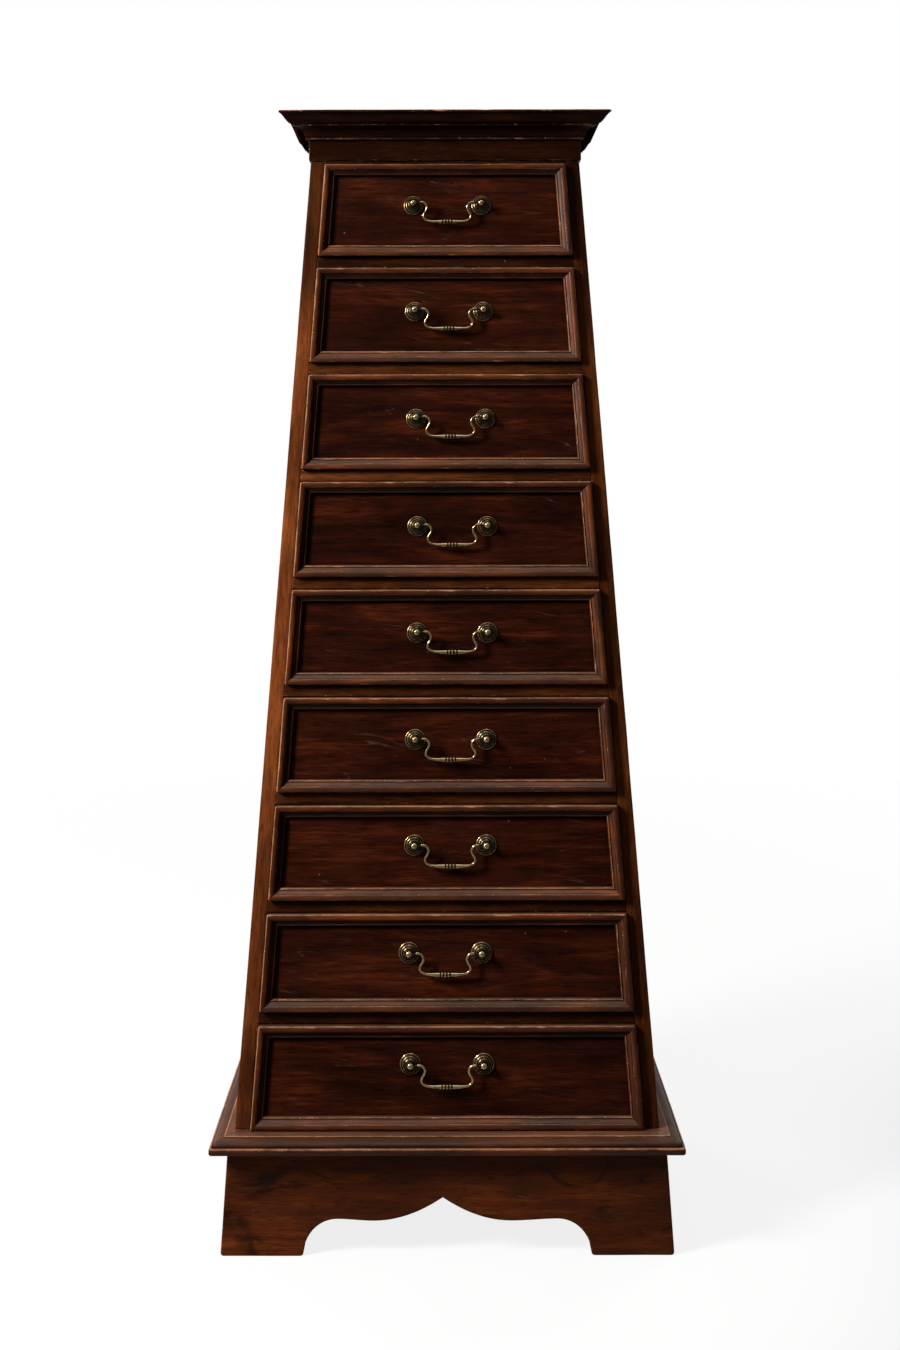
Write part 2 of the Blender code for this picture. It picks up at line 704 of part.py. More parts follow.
def bail_rings():
    """Rings of the rod along the bail's path, square to it."""
    path = bail_path()
    rings = []
    for i, (x, z) in enumerate(path):
        before = path[max(i - 1, 0)]
        after = path[min(i + 1, len(path) - 1)]
        along = Vector((after[0] - before[0], 0, after[1] - before[1])).normalized()
        across = Vector((-along.z, 0, along.x))
        in_bar = z < -BAIL_DROP * SWAN_NECK[-2][1]
        radius = bail_radius(x) if in_bar else ROD_RADIUS
        ring = []
        for k in range(ROD_SIDES):
            angle = 2 * math.pi * k / ROD_SIDES
            spoke = math.cos(angle) * across + Vector((0, math.sin(angle), 0))
            ring.append(Vector((x, 0, z)) + radius * spoke)
        rings.append(ring)
    return rings


def drawer(index, level, post, finishes):
    """One drawer: an empty at its handle, with the front, tray, posts and bail under it."""
    number = index + 1
    point = handle_point(index, level)
    slide = bpy.data.objects.new(f"drawer_{number}_slide", None)
    bpy.context.scene.collection.objects.link(slide)
    slide.location = point
    front = drawer_front(f"drawer_{number}_front", level, slide)
    combine(front, shank_holes(point), "DIFFERENCE")
    finish(front, finishes["drawer_mahogany"])
    tray = drawer_tray(f"drawer_{number}_tray", index, level, slide)
    finish(tray, finishes["lining_wood"])
    for word, side in (("left", -1), ("right", 1)):
        turned_post = place(f"drawer_{number}_post_{word}", post, slide, post_matrix(point, side))
        finish(turned_post, finishes["antique_brass"])
    axis = point + BALL_REACH * panel_normal()
    rings = [[axis + corner for corner in ring] for ring in bail_rings()]
    bail = mesh_object(f"drawer_{number}_bail", loft(rings), slide, axis)
    smooth(bail, BAIL_SHARP)
    finish(bail, finishes["antique_brass"])


def main():
    """Build the chest."""
    for obj in list(bpy.data.objects):
        bpy.data.objects.remove(obj)
    finishes = make_finishes()
    case = [face_frame(), side_board("left_side", -1), side_board("right_side", 1), frieze(), top_board(),
            base_moulding(), *crown()]
    for obj in case:
        finish(obj, finishes["case_mahogany"])
    for obj in (case_bottom(), back_panel(), plinth_back()):
        finish(obj, finishes["lining_wood"])
    for obj in (plinth_front(), plinth_side("plinth_left", -1), plinth_side("plinth_right", 1)):
        finish(obj, finishes["plinth_mahogany"])
    post = post_mesh()
    for index, level in enumerate(opening_levels()):
        drawer(index, level, post, finishes)


main()
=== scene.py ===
"""Finished surfaces of a pyramid chest of drawers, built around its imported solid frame.

The file is laid out as a Blender add-on and is run as a script. Each operator builds one group of like
pieces: boards with eased and worn edges, mitred mouldings, turned brass posts and swan-neck bails. Every
piece rides on the body of the frame that it belongs to.
"""

import json
import math
import random

import bpy
import numpy as np
from bpy.props import FloatProperty, FloatVectorProperty, PointerProperty
from bpy.types import Operator, Panel, PropertyGroup
from mathutils import Matrix, Vector, noise


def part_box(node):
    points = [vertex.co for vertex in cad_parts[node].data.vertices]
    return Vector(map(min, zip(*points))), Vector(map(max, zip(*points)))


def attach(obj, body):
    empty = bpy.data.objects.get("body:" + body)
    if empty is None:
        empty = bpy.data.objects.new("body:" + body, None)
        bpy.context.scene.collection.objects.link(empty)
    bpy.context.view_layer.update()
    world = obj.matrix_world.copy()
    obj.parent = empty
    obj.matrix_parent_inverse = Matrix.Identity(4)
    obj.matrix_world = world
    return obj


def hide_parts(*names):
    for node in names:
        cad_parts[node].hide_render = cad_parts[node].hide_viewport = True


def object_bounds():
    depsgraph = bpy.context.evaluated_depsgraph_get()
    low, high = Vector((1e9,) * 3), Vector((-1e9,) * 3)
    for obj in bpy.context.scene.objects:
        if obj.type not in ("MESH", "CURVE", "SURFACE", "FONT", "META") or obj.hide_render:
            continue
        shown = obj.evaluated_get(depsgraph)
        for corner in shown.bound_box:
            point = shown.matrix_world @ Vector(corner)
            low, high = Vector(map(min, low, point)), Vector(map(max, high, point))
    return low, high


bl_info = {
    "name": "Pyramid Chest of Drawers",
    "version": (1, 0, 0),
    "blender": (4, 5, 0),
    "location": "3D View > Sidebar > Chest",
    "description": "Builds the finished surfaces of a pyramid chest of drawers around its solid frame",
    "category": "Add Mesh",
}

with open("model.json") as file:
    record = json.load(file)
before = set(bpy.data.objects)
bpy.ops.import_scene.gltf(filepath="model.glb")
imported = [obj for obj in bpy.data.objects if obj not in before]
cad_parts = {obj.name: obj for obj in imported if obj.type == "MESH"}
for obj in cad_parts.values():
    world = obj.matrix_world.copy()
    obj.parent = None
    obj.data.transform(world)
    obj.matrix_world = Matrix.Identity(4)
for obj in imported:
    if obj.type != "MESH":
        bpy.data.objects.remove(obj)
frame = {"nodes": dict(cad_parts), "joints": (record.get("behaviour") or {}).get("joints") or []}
CAD_BOX = [list(corner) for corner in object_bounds()]

# Measures taken from the frame

LEVEL_TOLERANCE = 0.0002


def level_corners(node, top):
    """Lowest and highest corner among a node's points that lie at its top, or at its bottom."""
    points = np.array([vertex.co for vertex in frame["nodes"][node].data.vertices])
    heights = points[:, 2]
    level = heights.max() if top else heights.min()
    chosen = points[np.abs(heights - level) < LEVEL_TOLERANCE]
    return Vector(chosen.min(axis=0)), Vector(chosen.max(axis=0))


FOOT_LOW, FOOT_HIGH = level_corners("face_frame", top=False)
HEAD_LOW, HEAD_HIGH = level_corners("face_frame", top=True)
CASE_RISE = HEAD_LOW.z - FOOT_LOW.z
SIDE_SLOPE = (FOOT_HIGH.x - HEAD_HIGH.x) / CASE_RISE
FRONT_SLOPE = (HEAD_LOW.y - FOOT_LOW.y) / CASE_RISE
FACE_THICK = FOOT_HIGH.y - FOOT_LOW.y
BACK_Y = CAD_BOX[1][1]
LEAN = math.atan(FRONT_SLOPE)
OUTWARD = Vector((0, -math.cos(LEAN), math.sin(LEAN)))
DRAWERS = range(1, sum(name.endswith("_tray") for name in frame["nodes"]) + 1)
HINGES = [joint for joint in frame["joints"] if joint["type"] == "hinge"]
BAIL_AXES = {joint["child"]: Vector(joint["pos_m"]) for joint in HINGES}


def half_width(z):
    """Half the width of the leaning case at a height."""
    return FOOT_HIGH.x - SIDE_SLOPE * (z - FOOT_HIGH.z)


def face_y(z):
    """Front of the leaning face frame at a height."""
    return FOOT_LOW.y + FRONT_SLOPE * (z - FOOT_LOW.z)


def front_span(number):
    """Bottom and top of a drawer front."""
    low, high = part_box(f"drawer_{number}_front")
    return low.z, high.z


def front_margin():
    """Case edge to drawer front, measured level across the stile."""
    low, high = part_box("drawer_1_front")
    return half_width(low.z) - high.x


def frame_rise():
    """Height of the raised frame moulding above the panel."""
    low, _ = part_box("drawer_1_front")
    return face_y(low.z) - low.y


# Settings that a user would change

def length(name, description, default):
    """A size in metres."""
    return FloatProperty(name=name, description=description, default=default, min=0.0, precision=4,
                         subtype="DISTANCE", unit="LENGTH")


def linear(channel):
    """One 8-bit screen colour channel as linear light, by the sRGB formula."""
    value = channel / 255
    if value <= 0.04045:
        return value / 12.92
    return ((value + 0.055) / 1.055) ** 2.4


def colour(name, description, red, green, blue):
    """A colour given by its 8-bit screen values."""
    default = [linear(channel) for channel in (red, green, blue)]
    return FloatVectorProperty(name=name, description=description, default=default, size=3, min=0.0,
                               max=1.0, subtype="COLOR")


class ChestSizes(PropertyGroup):
    """Sizes of the finished pieces."""

    ease: length("Eased edge", "Rounding of a board's edges", 0.0009)
    fade: length("Worn margin", "How far wear reaches in from a board's edge", 0.0040)
    nick: length("Nick depth", "Depth of the nicks in a moulding's edges", 0.0009)
    joint: length("Joint line", "Open line between two boards", 0.0003)
    spacing: length("Point spacing", "Distance between points along a board or moulding", 0.0090)
    edge_spacing: length("Edge spacing", "Distance between points along a shaped board's edge", 0.0180)
    waviness: length("Waviness", "How far old timber has moved from straight", 0.00028)
    inside_waviness: length("Inside waviness", "How far boards inside have moved from straight", 0.00008)
    corner: length("Corner length", "How far from a mitre its worn corner begins", 0.0030)
    corner_pull: length("Corner wear", "How far the worn corner of a mitre is rubbed back", 0.0006)
    base_round: length("Base corner", "How far the base moulding's corners are rubbed back", 0.0022)
    front_gap: length("Drawer gap", "Gap between a drawer front and its opening", 0.0010)
    front_thick: length("Front board", "Thickness of the board behind a drawer's frame", 0.0180)
    frame_width: length("Frame width", "Width of the raised frame on a drawer front", 0.0160)
    frame_rise: length("Frame rise", "Height of the raised frame above the panel", frame_rise())
    dirt_and_shade_reach: length("Dirt reach", "How far dirt reaches from a frame on to its panel", 0.0080)
    tray_wall: length("Drawer side", "Thickness of a drawer's sides and back", 0.0090)
    tray_floor: length("Drawer bottom", "Thickness of a drawer's bottom", 0.0060)
    runner_height: length("Runner height", "Height of a drawer runner", 0.0140)
    runner_bearing: length("Runner bearing", "How far a drawer lies on its runner", 0.0120)
    side_crown_reach: length("Crown at the sides", "How far the crown's side lengths stand out", 0.0304)
    frieze_thick: length("Frieze thickness", "Thickness of the frieze boards", 0.0180)
    plinth_thick: length("Plinth thickness", "Thickness of the plinth boards", 0.0180)
    plinth_ease: length("Foot rounding", "Rounding of the plinth's edges", 0.0018)
    foot_width: length("Foot width", "Width of a front foot on the floor", 0.1080)
    side_foot_width: length("Side foot width", "Width of a side board's foot on the floor", 0.0800)
    foot_curve: length("Foot curve", "Length of the curve from a foot to the apron", 0.0440)
    apron_clear: length("Apron clearance", "Floor to the apron's lower edge beside a foot", 0.0478)
    apron_dip: length("Apron dip", "How far the apron's lower edge sags beside the rise", 0.0024)
    apron_peak: length("Apron peak", "Floor to the point in the middle of the apron", 0.0758)
    peak_half: length("Half peak", "Half length of the rise to the apron's point", 0.0900)
    peak_left: length("Peak to the left", "How far the apron's point lies to the left of the middle", 0.0060)
    foot_round: length("Foot corner", "Rounding of a foot's corner on the floor", 0.0050)
    rosette_radius: length("Rosette radius", "Radius of a handle's round backplate", 0.0139)
    ball_radius: length("Ball radius", "Radius of the ball at the end of a handle post", 0.0052)
    neck_radius: length("Neck radius", "Radius of the neck under the ball", 0.0032)
    rod_radius: length("Rod radius", "Radius of a bail's rod", 0.0020)
    grip_radius: length("Grip radius", "Radius of a bail's bar in its middle", 0.0042)
    grip_half: length("Half grip", "Half length of the swelling of a bail's bar", 0.0235)
    bail_drop: length("Bail drop", "Pins to the middle of a bail's bar", 0.0275)


class ChestColours(PropertyGroup):
    """Colours of the finishes, as they look on screen."""

    case_deep: colour("Case, deep", "Darkest grain of the case", 64, 29, 13)
    case_mid: colour("Case, middle", "Main colour of the case", 106, 53, 23)
    case_light: colour("Case, light", "Lightest grain of the case", 134, 72, 33)
    drawer_deep: colour("Drawers, deep", "Darkest grain of the drawer fronts", 28, 10, 6)
    drawer_mid: colour("Drawers, middle", "Main colour of the drawer fronts", 46, 17, 8)
    drawer_light: colour("Drawers, light", "Lightest grain of the drawer fronts", 74, 30, 13)
    plinth_deep: colour("Plinth, deep", "Darkest grain of the plinth", 58, 26, 8)
    plinth_mid: colour("Plinth, middle", "Main colour of the plinth", 84, 36, 12)
    plinth_light: colour("Plinth, light", "Lightest grain of the plinth", 104, 52, 18)
    worn: colour("Worn edge", "Timber that shows where polish is rubbed away", 166, 114, 80)
    scuff: colour("Scuff", "Pale scuffs and scratches in the polish", 140, 116, 96)
    dust_and_sheen: colour("Dust", "Dust on faces that look up", 150, 126, 104)
    chip: colour("Chip", "Bare timber in small chips along the edges", 188, 150, 112)
    lining: colour("Lining", "Bare timber inside the chest and behind it", 150, 112, 72)
    lining_dark: colour("Lining, dark", "Dark grain of the bare timber", 104, 72, 42)
    brass: colour("Brass", "Rubbed brass", 142, 120, 85)
    brass_dark: colour("Brass patina", "Brass darkened by age", 38, 30, 19)
    floor: colour("Floor", "Pale studio floor", 236, 235, 232)
    floor_bounce: colour("Floor bounce", "How dark the floor is for the light it throws back", 84, 83, 81)


class StageSettings(PropertyGroup):
    """Camera and light."""

    distance: length("Camera distance", "Camera to the front edge of the base", 1.972)
    height: length("Camera height", "Camera above the floor", 1.0368)
    lens: FloatProperty(name="Lens", description="Focal length on a 36 mm long side", default=40.78,
                        subtype="DISTANCE_CAMERA")
    shift_x: FloatProperty(name="Shift across", description="Camera shift as a share of the long side",
                           default=0.0032, subtype="FACTOR")
    shift_y: FloatProperty(name="Shift up", description="Camera shift as a share of the long side",
                           default=-0.1586, subtype="FACTOR")
    roll: FloatProperty(name="Roll", description="Small turn of the camera about its view", default=0.0022,
                        subtype="ANGLE")
    key_power: FloatProperty(name="Key light", description="Power of the soft lamp at the upper left",
                             default=165.0, min=0.0, unit="POWER")
    top_power: FloatProperty(name="Top light", description="Power of the wide lamp overhead",
                             default=13.0, min=0.0, unit="POWER")
    rim_power: FloatProperty(name="Rim lights", description="Power of each lamp behind the chest",
                             default=60.0, min=0.0, unit="POWER")
    ambient: FloatProperty(name="Ambient", description="Strength of the light from all around", default=0.05,
                           min=0.0, subtype="FACTOR")
    floor_radius: length("Floor radius", "Radius of the pale floor", 9.0)


# Shapes made of rings of points

RING_WEAR = (0.0, 0.7, 1.0, 0.7, 0.0)
EASE_MIDDLE = 1 - math.sqrt(0.5)
FADE_LIMIT = 0.45
EASE_LIMIT = 0.30
END_LIMIT = 0.25
MITRE_RUB = (1.0, 0.3)
LONG_WAVE = 13.0
SHORT_WAVE = 85.0
SHORT_SHARE = 0.3
WAVE_SHIFT = 100
WAVE_SEED = 7
WORN_EDGE = 0.9
NICK_DEPTHS = (0.4, 1.0)
NICK_WEAR = 1.6


def eased_ring(corners, ease, fade):
    """Ring round four corners, with eased edges and a point on each side of them where wear ends."""
    points = []
    for i, corner in enumerate(corners):
        back = corners[i - 1] - corner
        ahead = corners[(i + 1) % len(corners)] - corner
        reach_back = min(fade, FADE_LIMIT * back.length)
        reach_ahead = min(fade, FADE_LIMIT * ahead.length)
        round_back = back.normalized() * min(ease, EASE_LIMIT * back.length)
        round_ahead = ahead.normalized() * min(ease, EASE_LIMIT * ahead.length)
        points.append(corner + back.normalized() * reach_back)
        points.append(corner + round_back)
        points.append(corner + (round_back + round_ahead) * EASE_MIDDLE)
        points.append(corner + round_ahead)
        points.append(corner + ahead.normalized() * reach_ahead)
    return points


def inset_corners(corners, amount):
    """Four corners moved in along both of their sides."""
    moved = []
    for i, corner in enumerate(corners):
        back = (corners[i - 1] - corner).normalized()
        ahead = (corners[(i + 1) % len(corners)] - corner).normalized()
        moved.append(corner + (back + ahead) * amount)
    return moved


def stations(run, first, spacing):
    """Distances along a run: both ends, points near the ends, and an even spacing between."""
    inner = run - 2 * first[-1]
    count = max(1, round(inner / spacing))
    middle = [first[-1] + inner * i / count for i in range(1, count)]
    return list(first) + middle + [run - distance for distance in reversed(first)]


def board_rings(start, end, sizes, reach):
    """Rings and wear of a board between two four-cornered ends. Wear reaches in from its eased edges."""
    run = ((end[0] + end[2]) - (start[0] + start[2])).length / 2
    fade = min(reach, END_LIMIT * run)
    rings = []
    wear_and_highlight = []
    marks = stations(run, (0.0, min(sizes.ease, fade / 2), fade), sizes.spacing)
    for i, distance in enumerate(marks):
        corners = [near.lerp(far, distance / run) for near, far in zip(start, end)]
        if i in (0, len(marks) - 1):
            corners = inset_corners(corners, sizes.ease)
        rings.append(eased_ring(corners, sizes.ease, reach))
        at_end = max(0.0, 1 - min(distance, run - distance) / fade)
        wear_and_highlight.append([max(edge, at_end) for edge in RING_WEAR * len(corners)])
    return np.array(rings), np.array(wear_and_highlight), np.zeros_like(wear_and_highlight)


def end_wear(ring, wear_and_highlight, amount):
    """How far the points of a moulding's end are rubbed back towards its middle."""
    inward = ring.mean(axis=0) - ring
    inward /= np.linalg.norm(inward, axis=1, keepdims=True)
    return amount * wear_and_highlight[:, None] * inward


def moulding_rings(start, end, wear_and_highlight, grime_and_shade, sizes, rubbed=None):
    """Rings, wear and grime of a moulding between two mitred ends, which are rubbed back a little."""
    start = np.array(start)
    end = np.array(end)
    wear_and_highlight = np.array(wear_and_highlight)
    run = np.linalg.norm(end.mean(axis=0) - start.mean(axis=0))
    distances = stations(run - sizes.joint, (0.0, sizes.corner / 3, sizes.corner), sizes.spacing)
    rings = np.array([start + (end - start) * (distance + sizes.joint / 2) / run for distance in distances])
    if rubbed is None:
        rubbed = (end_wear(start, wear_and_highlight, sizes.corner_pull), end_wear(end, wear_and_highlight, sizes.corner_pull))
    for i, share in enumerate(MITRE_RUB):
        rings[i] += share * rubbed[0]
        rings[-1 - i] += share * rubbed[1]
    return rings, np.tile(wear_and_highlight, (len(rings), 1)), np.tile(grime_and_shade, (len(rings), 1))


def wavy(rings, amount, draw):
    """Rings moved a little, as old hand-planed timber has moved."""
    noise.seed_set(WAVE_SEED)
    shift = Vector([draw.uniform(0, WAVE_SHIFT) for _ in range(3)])
    moved = np.empty_like(rings)
    for index in np.ndindex(rings.shape[:2]):
        point = Vector(rings[index])
        long_wave = noise.noise_vector(point * LONG_WAVE + shift)
        short_wave = noise.noise_vector(point * SHORT_WAVE - shift)
        moved[index] = point + amount * (long_wave + SHORT_SHARE * short_wave)
    return moved


def nicked(rings, wear_and_highlight, count, depth, draw):
    """Rings with small chips knocked out of their most worn edges."""
    edges = [j for j in range(wear_and_highlight.shape[1]) if wear_and_highlight[len(wear_and_highlight) // 2, j] >= WORN_EDGE]
    centres = rings.mean(axis=1, keepdims=True)
    for _ in range(count):
        i = draw.randrange(1, len(rings) - 1)
        j = draw.choice(edges)
        inward = centres[i, 0] - rings[i, j]
        push = depth * draw.uniform(*NICK_DEPTHS) * inward / np.linalg.norm(inward)
        rings[i, j] += push
        wear_and_highlight[i, j] = NICK_WEAR
    return rings


def ring_faces(count, size):
    """Faces of a closed body through rings of equal size."""
    faces = []
    for i in range(count - 1):
        for j in range(size):
            k = (j + 1) % size
            faces.append((i * size + j, i * size + k, (i + 1) * size + k, (i + 1) * size + j))
    faces.append(tuple(reversed(range(size))))
    faces.append(tuple((count - 1) * size + j for j in range(size)))
    return faces


def faces_out(points, faces):
    """The faces, turned over if they enclose a negative volume."""
    middle = points.mean(axis=0)
    volume = 0.0
    for face in faces:
        first = points[face[0]] - middle
        for a, b in zip(face[1:], face[2:]):
            volume += np.dot(first, np.cross(points[a] - middle, points[b] - middle))
    if volume < 0:
        return [tuple(reversed(face)) for face in faces]
    return faces


# Pieces

SHARP_ANGLE = math.radians(38)
NEARLY_ALONG = 0.9
GRAIN_SHIFT = 20
TONE_SPREAD = (0.9, 1.1)
NICK_EASES = 2

# How bright a board's finish is beside its neighbours', in red, green and blue
PLAIN_TONE = (1.0, 1.0, 1.0)
# The rails are darker wood, and also painted shade of the drawer frame above each of them.
RAIL_TONE_AND_SHADE = (0.38, 0.40, 0.42)
# The right stile is painted darker, as painted shade of the drawer frames that the light from the left
# throws on it.
RIGHT_STILE_PAINTED_SHADE = (0.46, 0.46, 0.40)
# The leaning sides are painted darker, as painted shade that evens out the stronger light falling on them.
SIDE_TONE_AND_SHADE = (0.40, 0.34, 0.32)
# The frieze is painted darker, as painted shade of the crown above it.
FRIEZE_TONE_AND_SHADE = (0.44, 0.42, 0.50)
CROWN_FRONT_TONE = (0.85, 0.85, 0.95)
CROWN_SIDE_TONE = (0.40, 0.42, 0.50)
BASE_TONE = (1.30, 1.20, 1.40)
FRAME_TONE = (2.60, 3.20, 2.20)
# The plinth's sides are painted darker, as painted shade that evens out the stronger light falling on them.
PLINTH_SIDE_TONE_AND_SHADE = (0.62, 0.60, 0.60)

# Brightness by height in metres, and of the plinth's front by the distance to the right of its middle
# The case darkens towards its base, and at and under the crown, where it is partly painted shade of the
# crown's overhang.
CASE_TONES_AND_SHADE = (
    (0.10, 0.50), (0.16, 0.55), (0.42, 0.95), (0.60, 1.20),
    (1.15, 1.35), (1.30, 0.58), (1.40, 0.30), (1.60, 0.23),
)
PLINTH_TONES = ((0.00, 1.50), (0.05, 1.15), (0.15, 0.95))
PLINTH_FRONT_TONES = ((-0.30, 1.00), (0.00, 1.15), (0.12, 1.00), (0.30, 0.60))

# How polished each kind of piece still is
BOARD_POLISH = 0.20
PANEL_POLISH = 0.12
PLINTH_POLISH = 0.50
CROWN_POLISH = {"left": 0.0, "front": 0.25, "right": 0.0}
BASE_POLISH = {"left": 0.2, "front": 0.9, "right": 0.2}


def grain_frame(along):
    """Three directions: along the grain, across it and through it."""
    along = Vector(along).normalized()
    helper = Vector((0, 1, 0)) if abs(along.y) < NEARLY_ALONG else Vector((0, 0, 1))
    across = along.cross(helper).normalized()
    return np.array([along, across, along.cross(across)])


def mark(mesh, name, kind, values):
    """Store surface marks on a mesh's points, for its finish to read."""
    field = "vector" if kind == "FLOAT_VECTOR" else "value"
    layer = mesh.attributes.new(name, kind, "POINT")
    layer.data.foreach_set(field, np.asarray(values, dtype=np.float32).ravel())


def height_tones(finish, heights):
    """The case is darker near its base and at and under the crown, there partly as painted shade of the
    crown; the plinth is paler towards the floor.
    """
    table = {"case_mahogany": CASE_TONES_AND_SHADE, "plinth_mahogany": PLINTH_TONES}.get(finish)
    if table is None:
        return np.ones(len(heights))
    return np.interp(heights, *np.transpose(table))


def add_piece(name, body, finish, surface, along, tone=PLAIN_TONE, polish=BOARD_POLISH, replaces=()):
    """Add a closed body made of rings, with its marks and its finish, and let it ride on a body."""
    rings, wear_and_highlight, grime_and_shade = surface
    points = rings.reshape(-1, 3)
    faces = faces_out(points, ring_faces(len(rings), rings.shape[1]))
    mesh = bpy.data.meshes.new(name)
    mesh.from_pydata(points.tolist(), [], faces)
    draw = random.Random(name)
    shift = np.array([draw.uniform(0, GRAIN_SHIFT) for _ in range(3)])
    mark(mesh, "grain", "FLOAT_VECTOR", points @ grain_frame(along).T + shift)
    mark(mesh, "wear_and_highlight", "FLOAT", wear_and_highlight)
    mark(mesh, "grime_and_shade", "FLOAT", grime_and_shade)
    tones = draw.uniform(*TONE_SPREAD) * height_tones(finish, points[:, 2])
    mark(mesh, "tone", "FLOAT_VECTOR", tones[:, None] * np.asarray(tone))
    mesh.shade_smooth()
    mesh.set_sharp_from_angle(angle=SHARP_ANGLE)
    mesh.materials.append(finish_material(finish, polish))
    obj = bpy.data.objects.new(name, mesh)
    bpy.context.scene.collection.objects.link(obj)
    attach(obj, body)
    if replaces:
        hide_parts(*replaces)


def add_board(name, body, finish, ends, sizes, tone=PLAIN_TONE, nicks=0, replaces=()):
    """Add a board with eased, worn and slightly wavy edges between two four-cornered ends."""
    start, end = [[Vector(corner) for corner in corners] for corners in ends]
    draw = random.Random(name + " shape")
    rings, wear_and_highlight, grime_and_shade = board_rings(start, end, sizes, sizes.fade)
    waviness = sizes.inside_waviness if finish == "lining_wood" else sizes.waviness
    rings = wavy(rings, waviness, draw)
    rings = nicked(rings, wear_and_highlight, nicks, NICK_EASES * sizes.ease, draw)
    along = (end[0] + end[2]) - (start[0] + start[2])
    add_piece(name, body, finish, (rings, wear_and_highlight, grime_and_shade), along, tone, replaces=replaces)


def add_moulding(name, body, finish, ends, marks, sizes, tone, polish, nicks, replaces=(), rubbed=None):
    """Add a mitred length of moulding between two rings of profile points."""
    draw = random.Random(name + " shape")
    start, end = ends
    rings, wear_and_highlight, grime_and_shade = moulding_rings(start, end, *marks, sizes, rubbed)
    rings = wavy(rings, sizes.waviness, draw)
    rings = nicked(rings, wear_and_highlight, nicks, sizes.nick, draw)
    along = np.mean(end, axis=0) - np.mean(start, axis=0)
    add_piece(name, body, finish, (rings, wear_and_highlight, grime_and_shade), along, tone, polish, replaces)


def slab(low, high):
    """The two four-cornered ends of an upright box, left and right."""
    ends = []
    for x in (low.x, high.x):
        ends.append([(x, low.y, low.z), (x, high.y, low.z), (x, high.y, high.z), (x, low.y, high.z)])
    return ends


# Finishes

# Patterns: waves per metre along, across and through the grain, then detail, roughness, distortion
RIBBON = ((4.0, 24.0, 24.0), 4.0, 0.60, 1.2)
STREAKS = ((10.0, 130.0, 130.0), 5.0, 0.66, 0.5)
PORES = ((45.0, 640.0, 640.0), 2.0, 0.50, 0.0)
PATCHES = ((6.0, 12.0, 12.0), 3.0, 0.60, 0.4)
MOTTLE = ((45.0, 70.0, 70.0), 3.0, 0.60, 0.0)
SPECKS = ((220.0, 260.0, 260.0), 2.0, 0.60, 0.0)
STAINS = ((10.0, 15.0, 15.0), 4.0, 0.62, 1.2)
SCRATCHES = ((4.0, 75.0, 75.0), 1.0, 0.50, 0.2)
SCRATCHED = ((14.0, 26.0, 26.0), 3.0, 0.60, 0.0)
SPOTTED = ((20.0, 20.0, 20.0), 2.0, 0.50, 0.0)
CHIPPED = ((90.0, 90.0, 90.0), 2.0, 0.50, 0.0)
LINING_BANDS = ((1.6, 42.0, 42.0), 4.0, 0.60, 0.9)
LINING_FIBRES = ((14.0, 420.0, 420.0), 3.0, 0.60, 0.0)
LINING_PATCHES = ((5.0, 7.0, 7.0), 4.0, 0.60, 0.6)
TARNISH = ((260.0, 260.0, 260.0), 4.0, 0.65, 0.0)
BRASS_GRAIN = ((1400.0, 1400.0, 1400.0), 2.0, 0.50, 0.0)

# Where a pattern begins to show, and where it shows in full
MID_EDGES = (0.35, 0.54)
LIGHT_EDGES = (0.50, 0.66)
PORE_EDGES = (0.50, 0.68)
PIT_EDGES = (0.55, 0.75)
PATCH_EDGES = (0.30, 0.70)
STAIN_EDGES = (0.56, 0.67)
RUB_EDGES = (0.98, 1.28)
HAIRLINE_EDGES = (0.0, 0.007)
SCRATCHED_EDGES = (0.46, 0.70)
SPOT_EDGES = (0.02, 0.08)
SPOTTED_EDGES = (0.56, 0.66)
CHIP_EDGES = (0.20, 0.36)
CHIPPED_EDGES = (0.55, 0.62)
CHIP_WEAR = (0.45, 0.90)
DUST_AND_SHEEN_SLOPES = (0.40, 0.92)
LINING_EDGES = (0.38, 0.62)
AGE_EDGES = (0.12, 0.80)

# Shares of what makes up the wood's figure, its rubbed places and its relief
FIGURE_SHARES = (0.55, 0.45)
RUB_SHARES = (0.50, 0.25, 0.35, 0.50)
RELIEF_SHARES = (0.5, -1.0, 1.2, -1.0, -1.0)

# Factor and offset of a pattern
PORE_LIGHT = (-0.45, 1.00)
PATINA_LIGHT = (0.70, 0.65)
BARE_LIGHT = (0.90, 0.45)
DUST_AND_SHEEN_SHARE = (0.20, 0.04)
DIRT_AND_SHADE_SHARE = (0.60, 0.55)
FIBRE_LIGHT = (0.70, 0.62)
LINING_LIGHT = (0.75, 0.60)
LINING_ROUGH = (0.25, 0.60)
BRASS_ROUGH = (0.18, 0.14)

RUBBED_SHARE = 0.85
LINE_MIDDLE = 0.50
SCRATCH_SHARE = 0.15
SCRATCH_SLANT = math.radians(11)
SPOTS_PER_METRE = 60.0
SPOT_SHARE = 0.60
CHIPS_PER_METRE = 420.0
CHIP_SHARE = 0.75
DIRT_AND_SHADE_LIMIT = 0.90
MOTTLE_ROUGH = 0.24
RUBBED_ROUGH = 0.12
WOOD_BUMP = (0.35, 0.0006)
POLISH_SHINE = 0.12
LINING_WEAR = 0.22
LINING_BUMP = (0.30, 0.0005)
LINING_SHINE = 0.25
OLD_SHARES = (1.0, 0.65, -0.45)
BRASS_BUMP = (0.06, 0.0003)

# Each mahogany's colours, its stains and its least roughness
MAHOGANIES = {
    "case_mahogany": ("case", 0.0, 0.26),
    "drawer_mahogany": ("drawer", 0.0, 0.26),
    "plinth_mahogany": ("plinth", 0.75, 0.36),
}


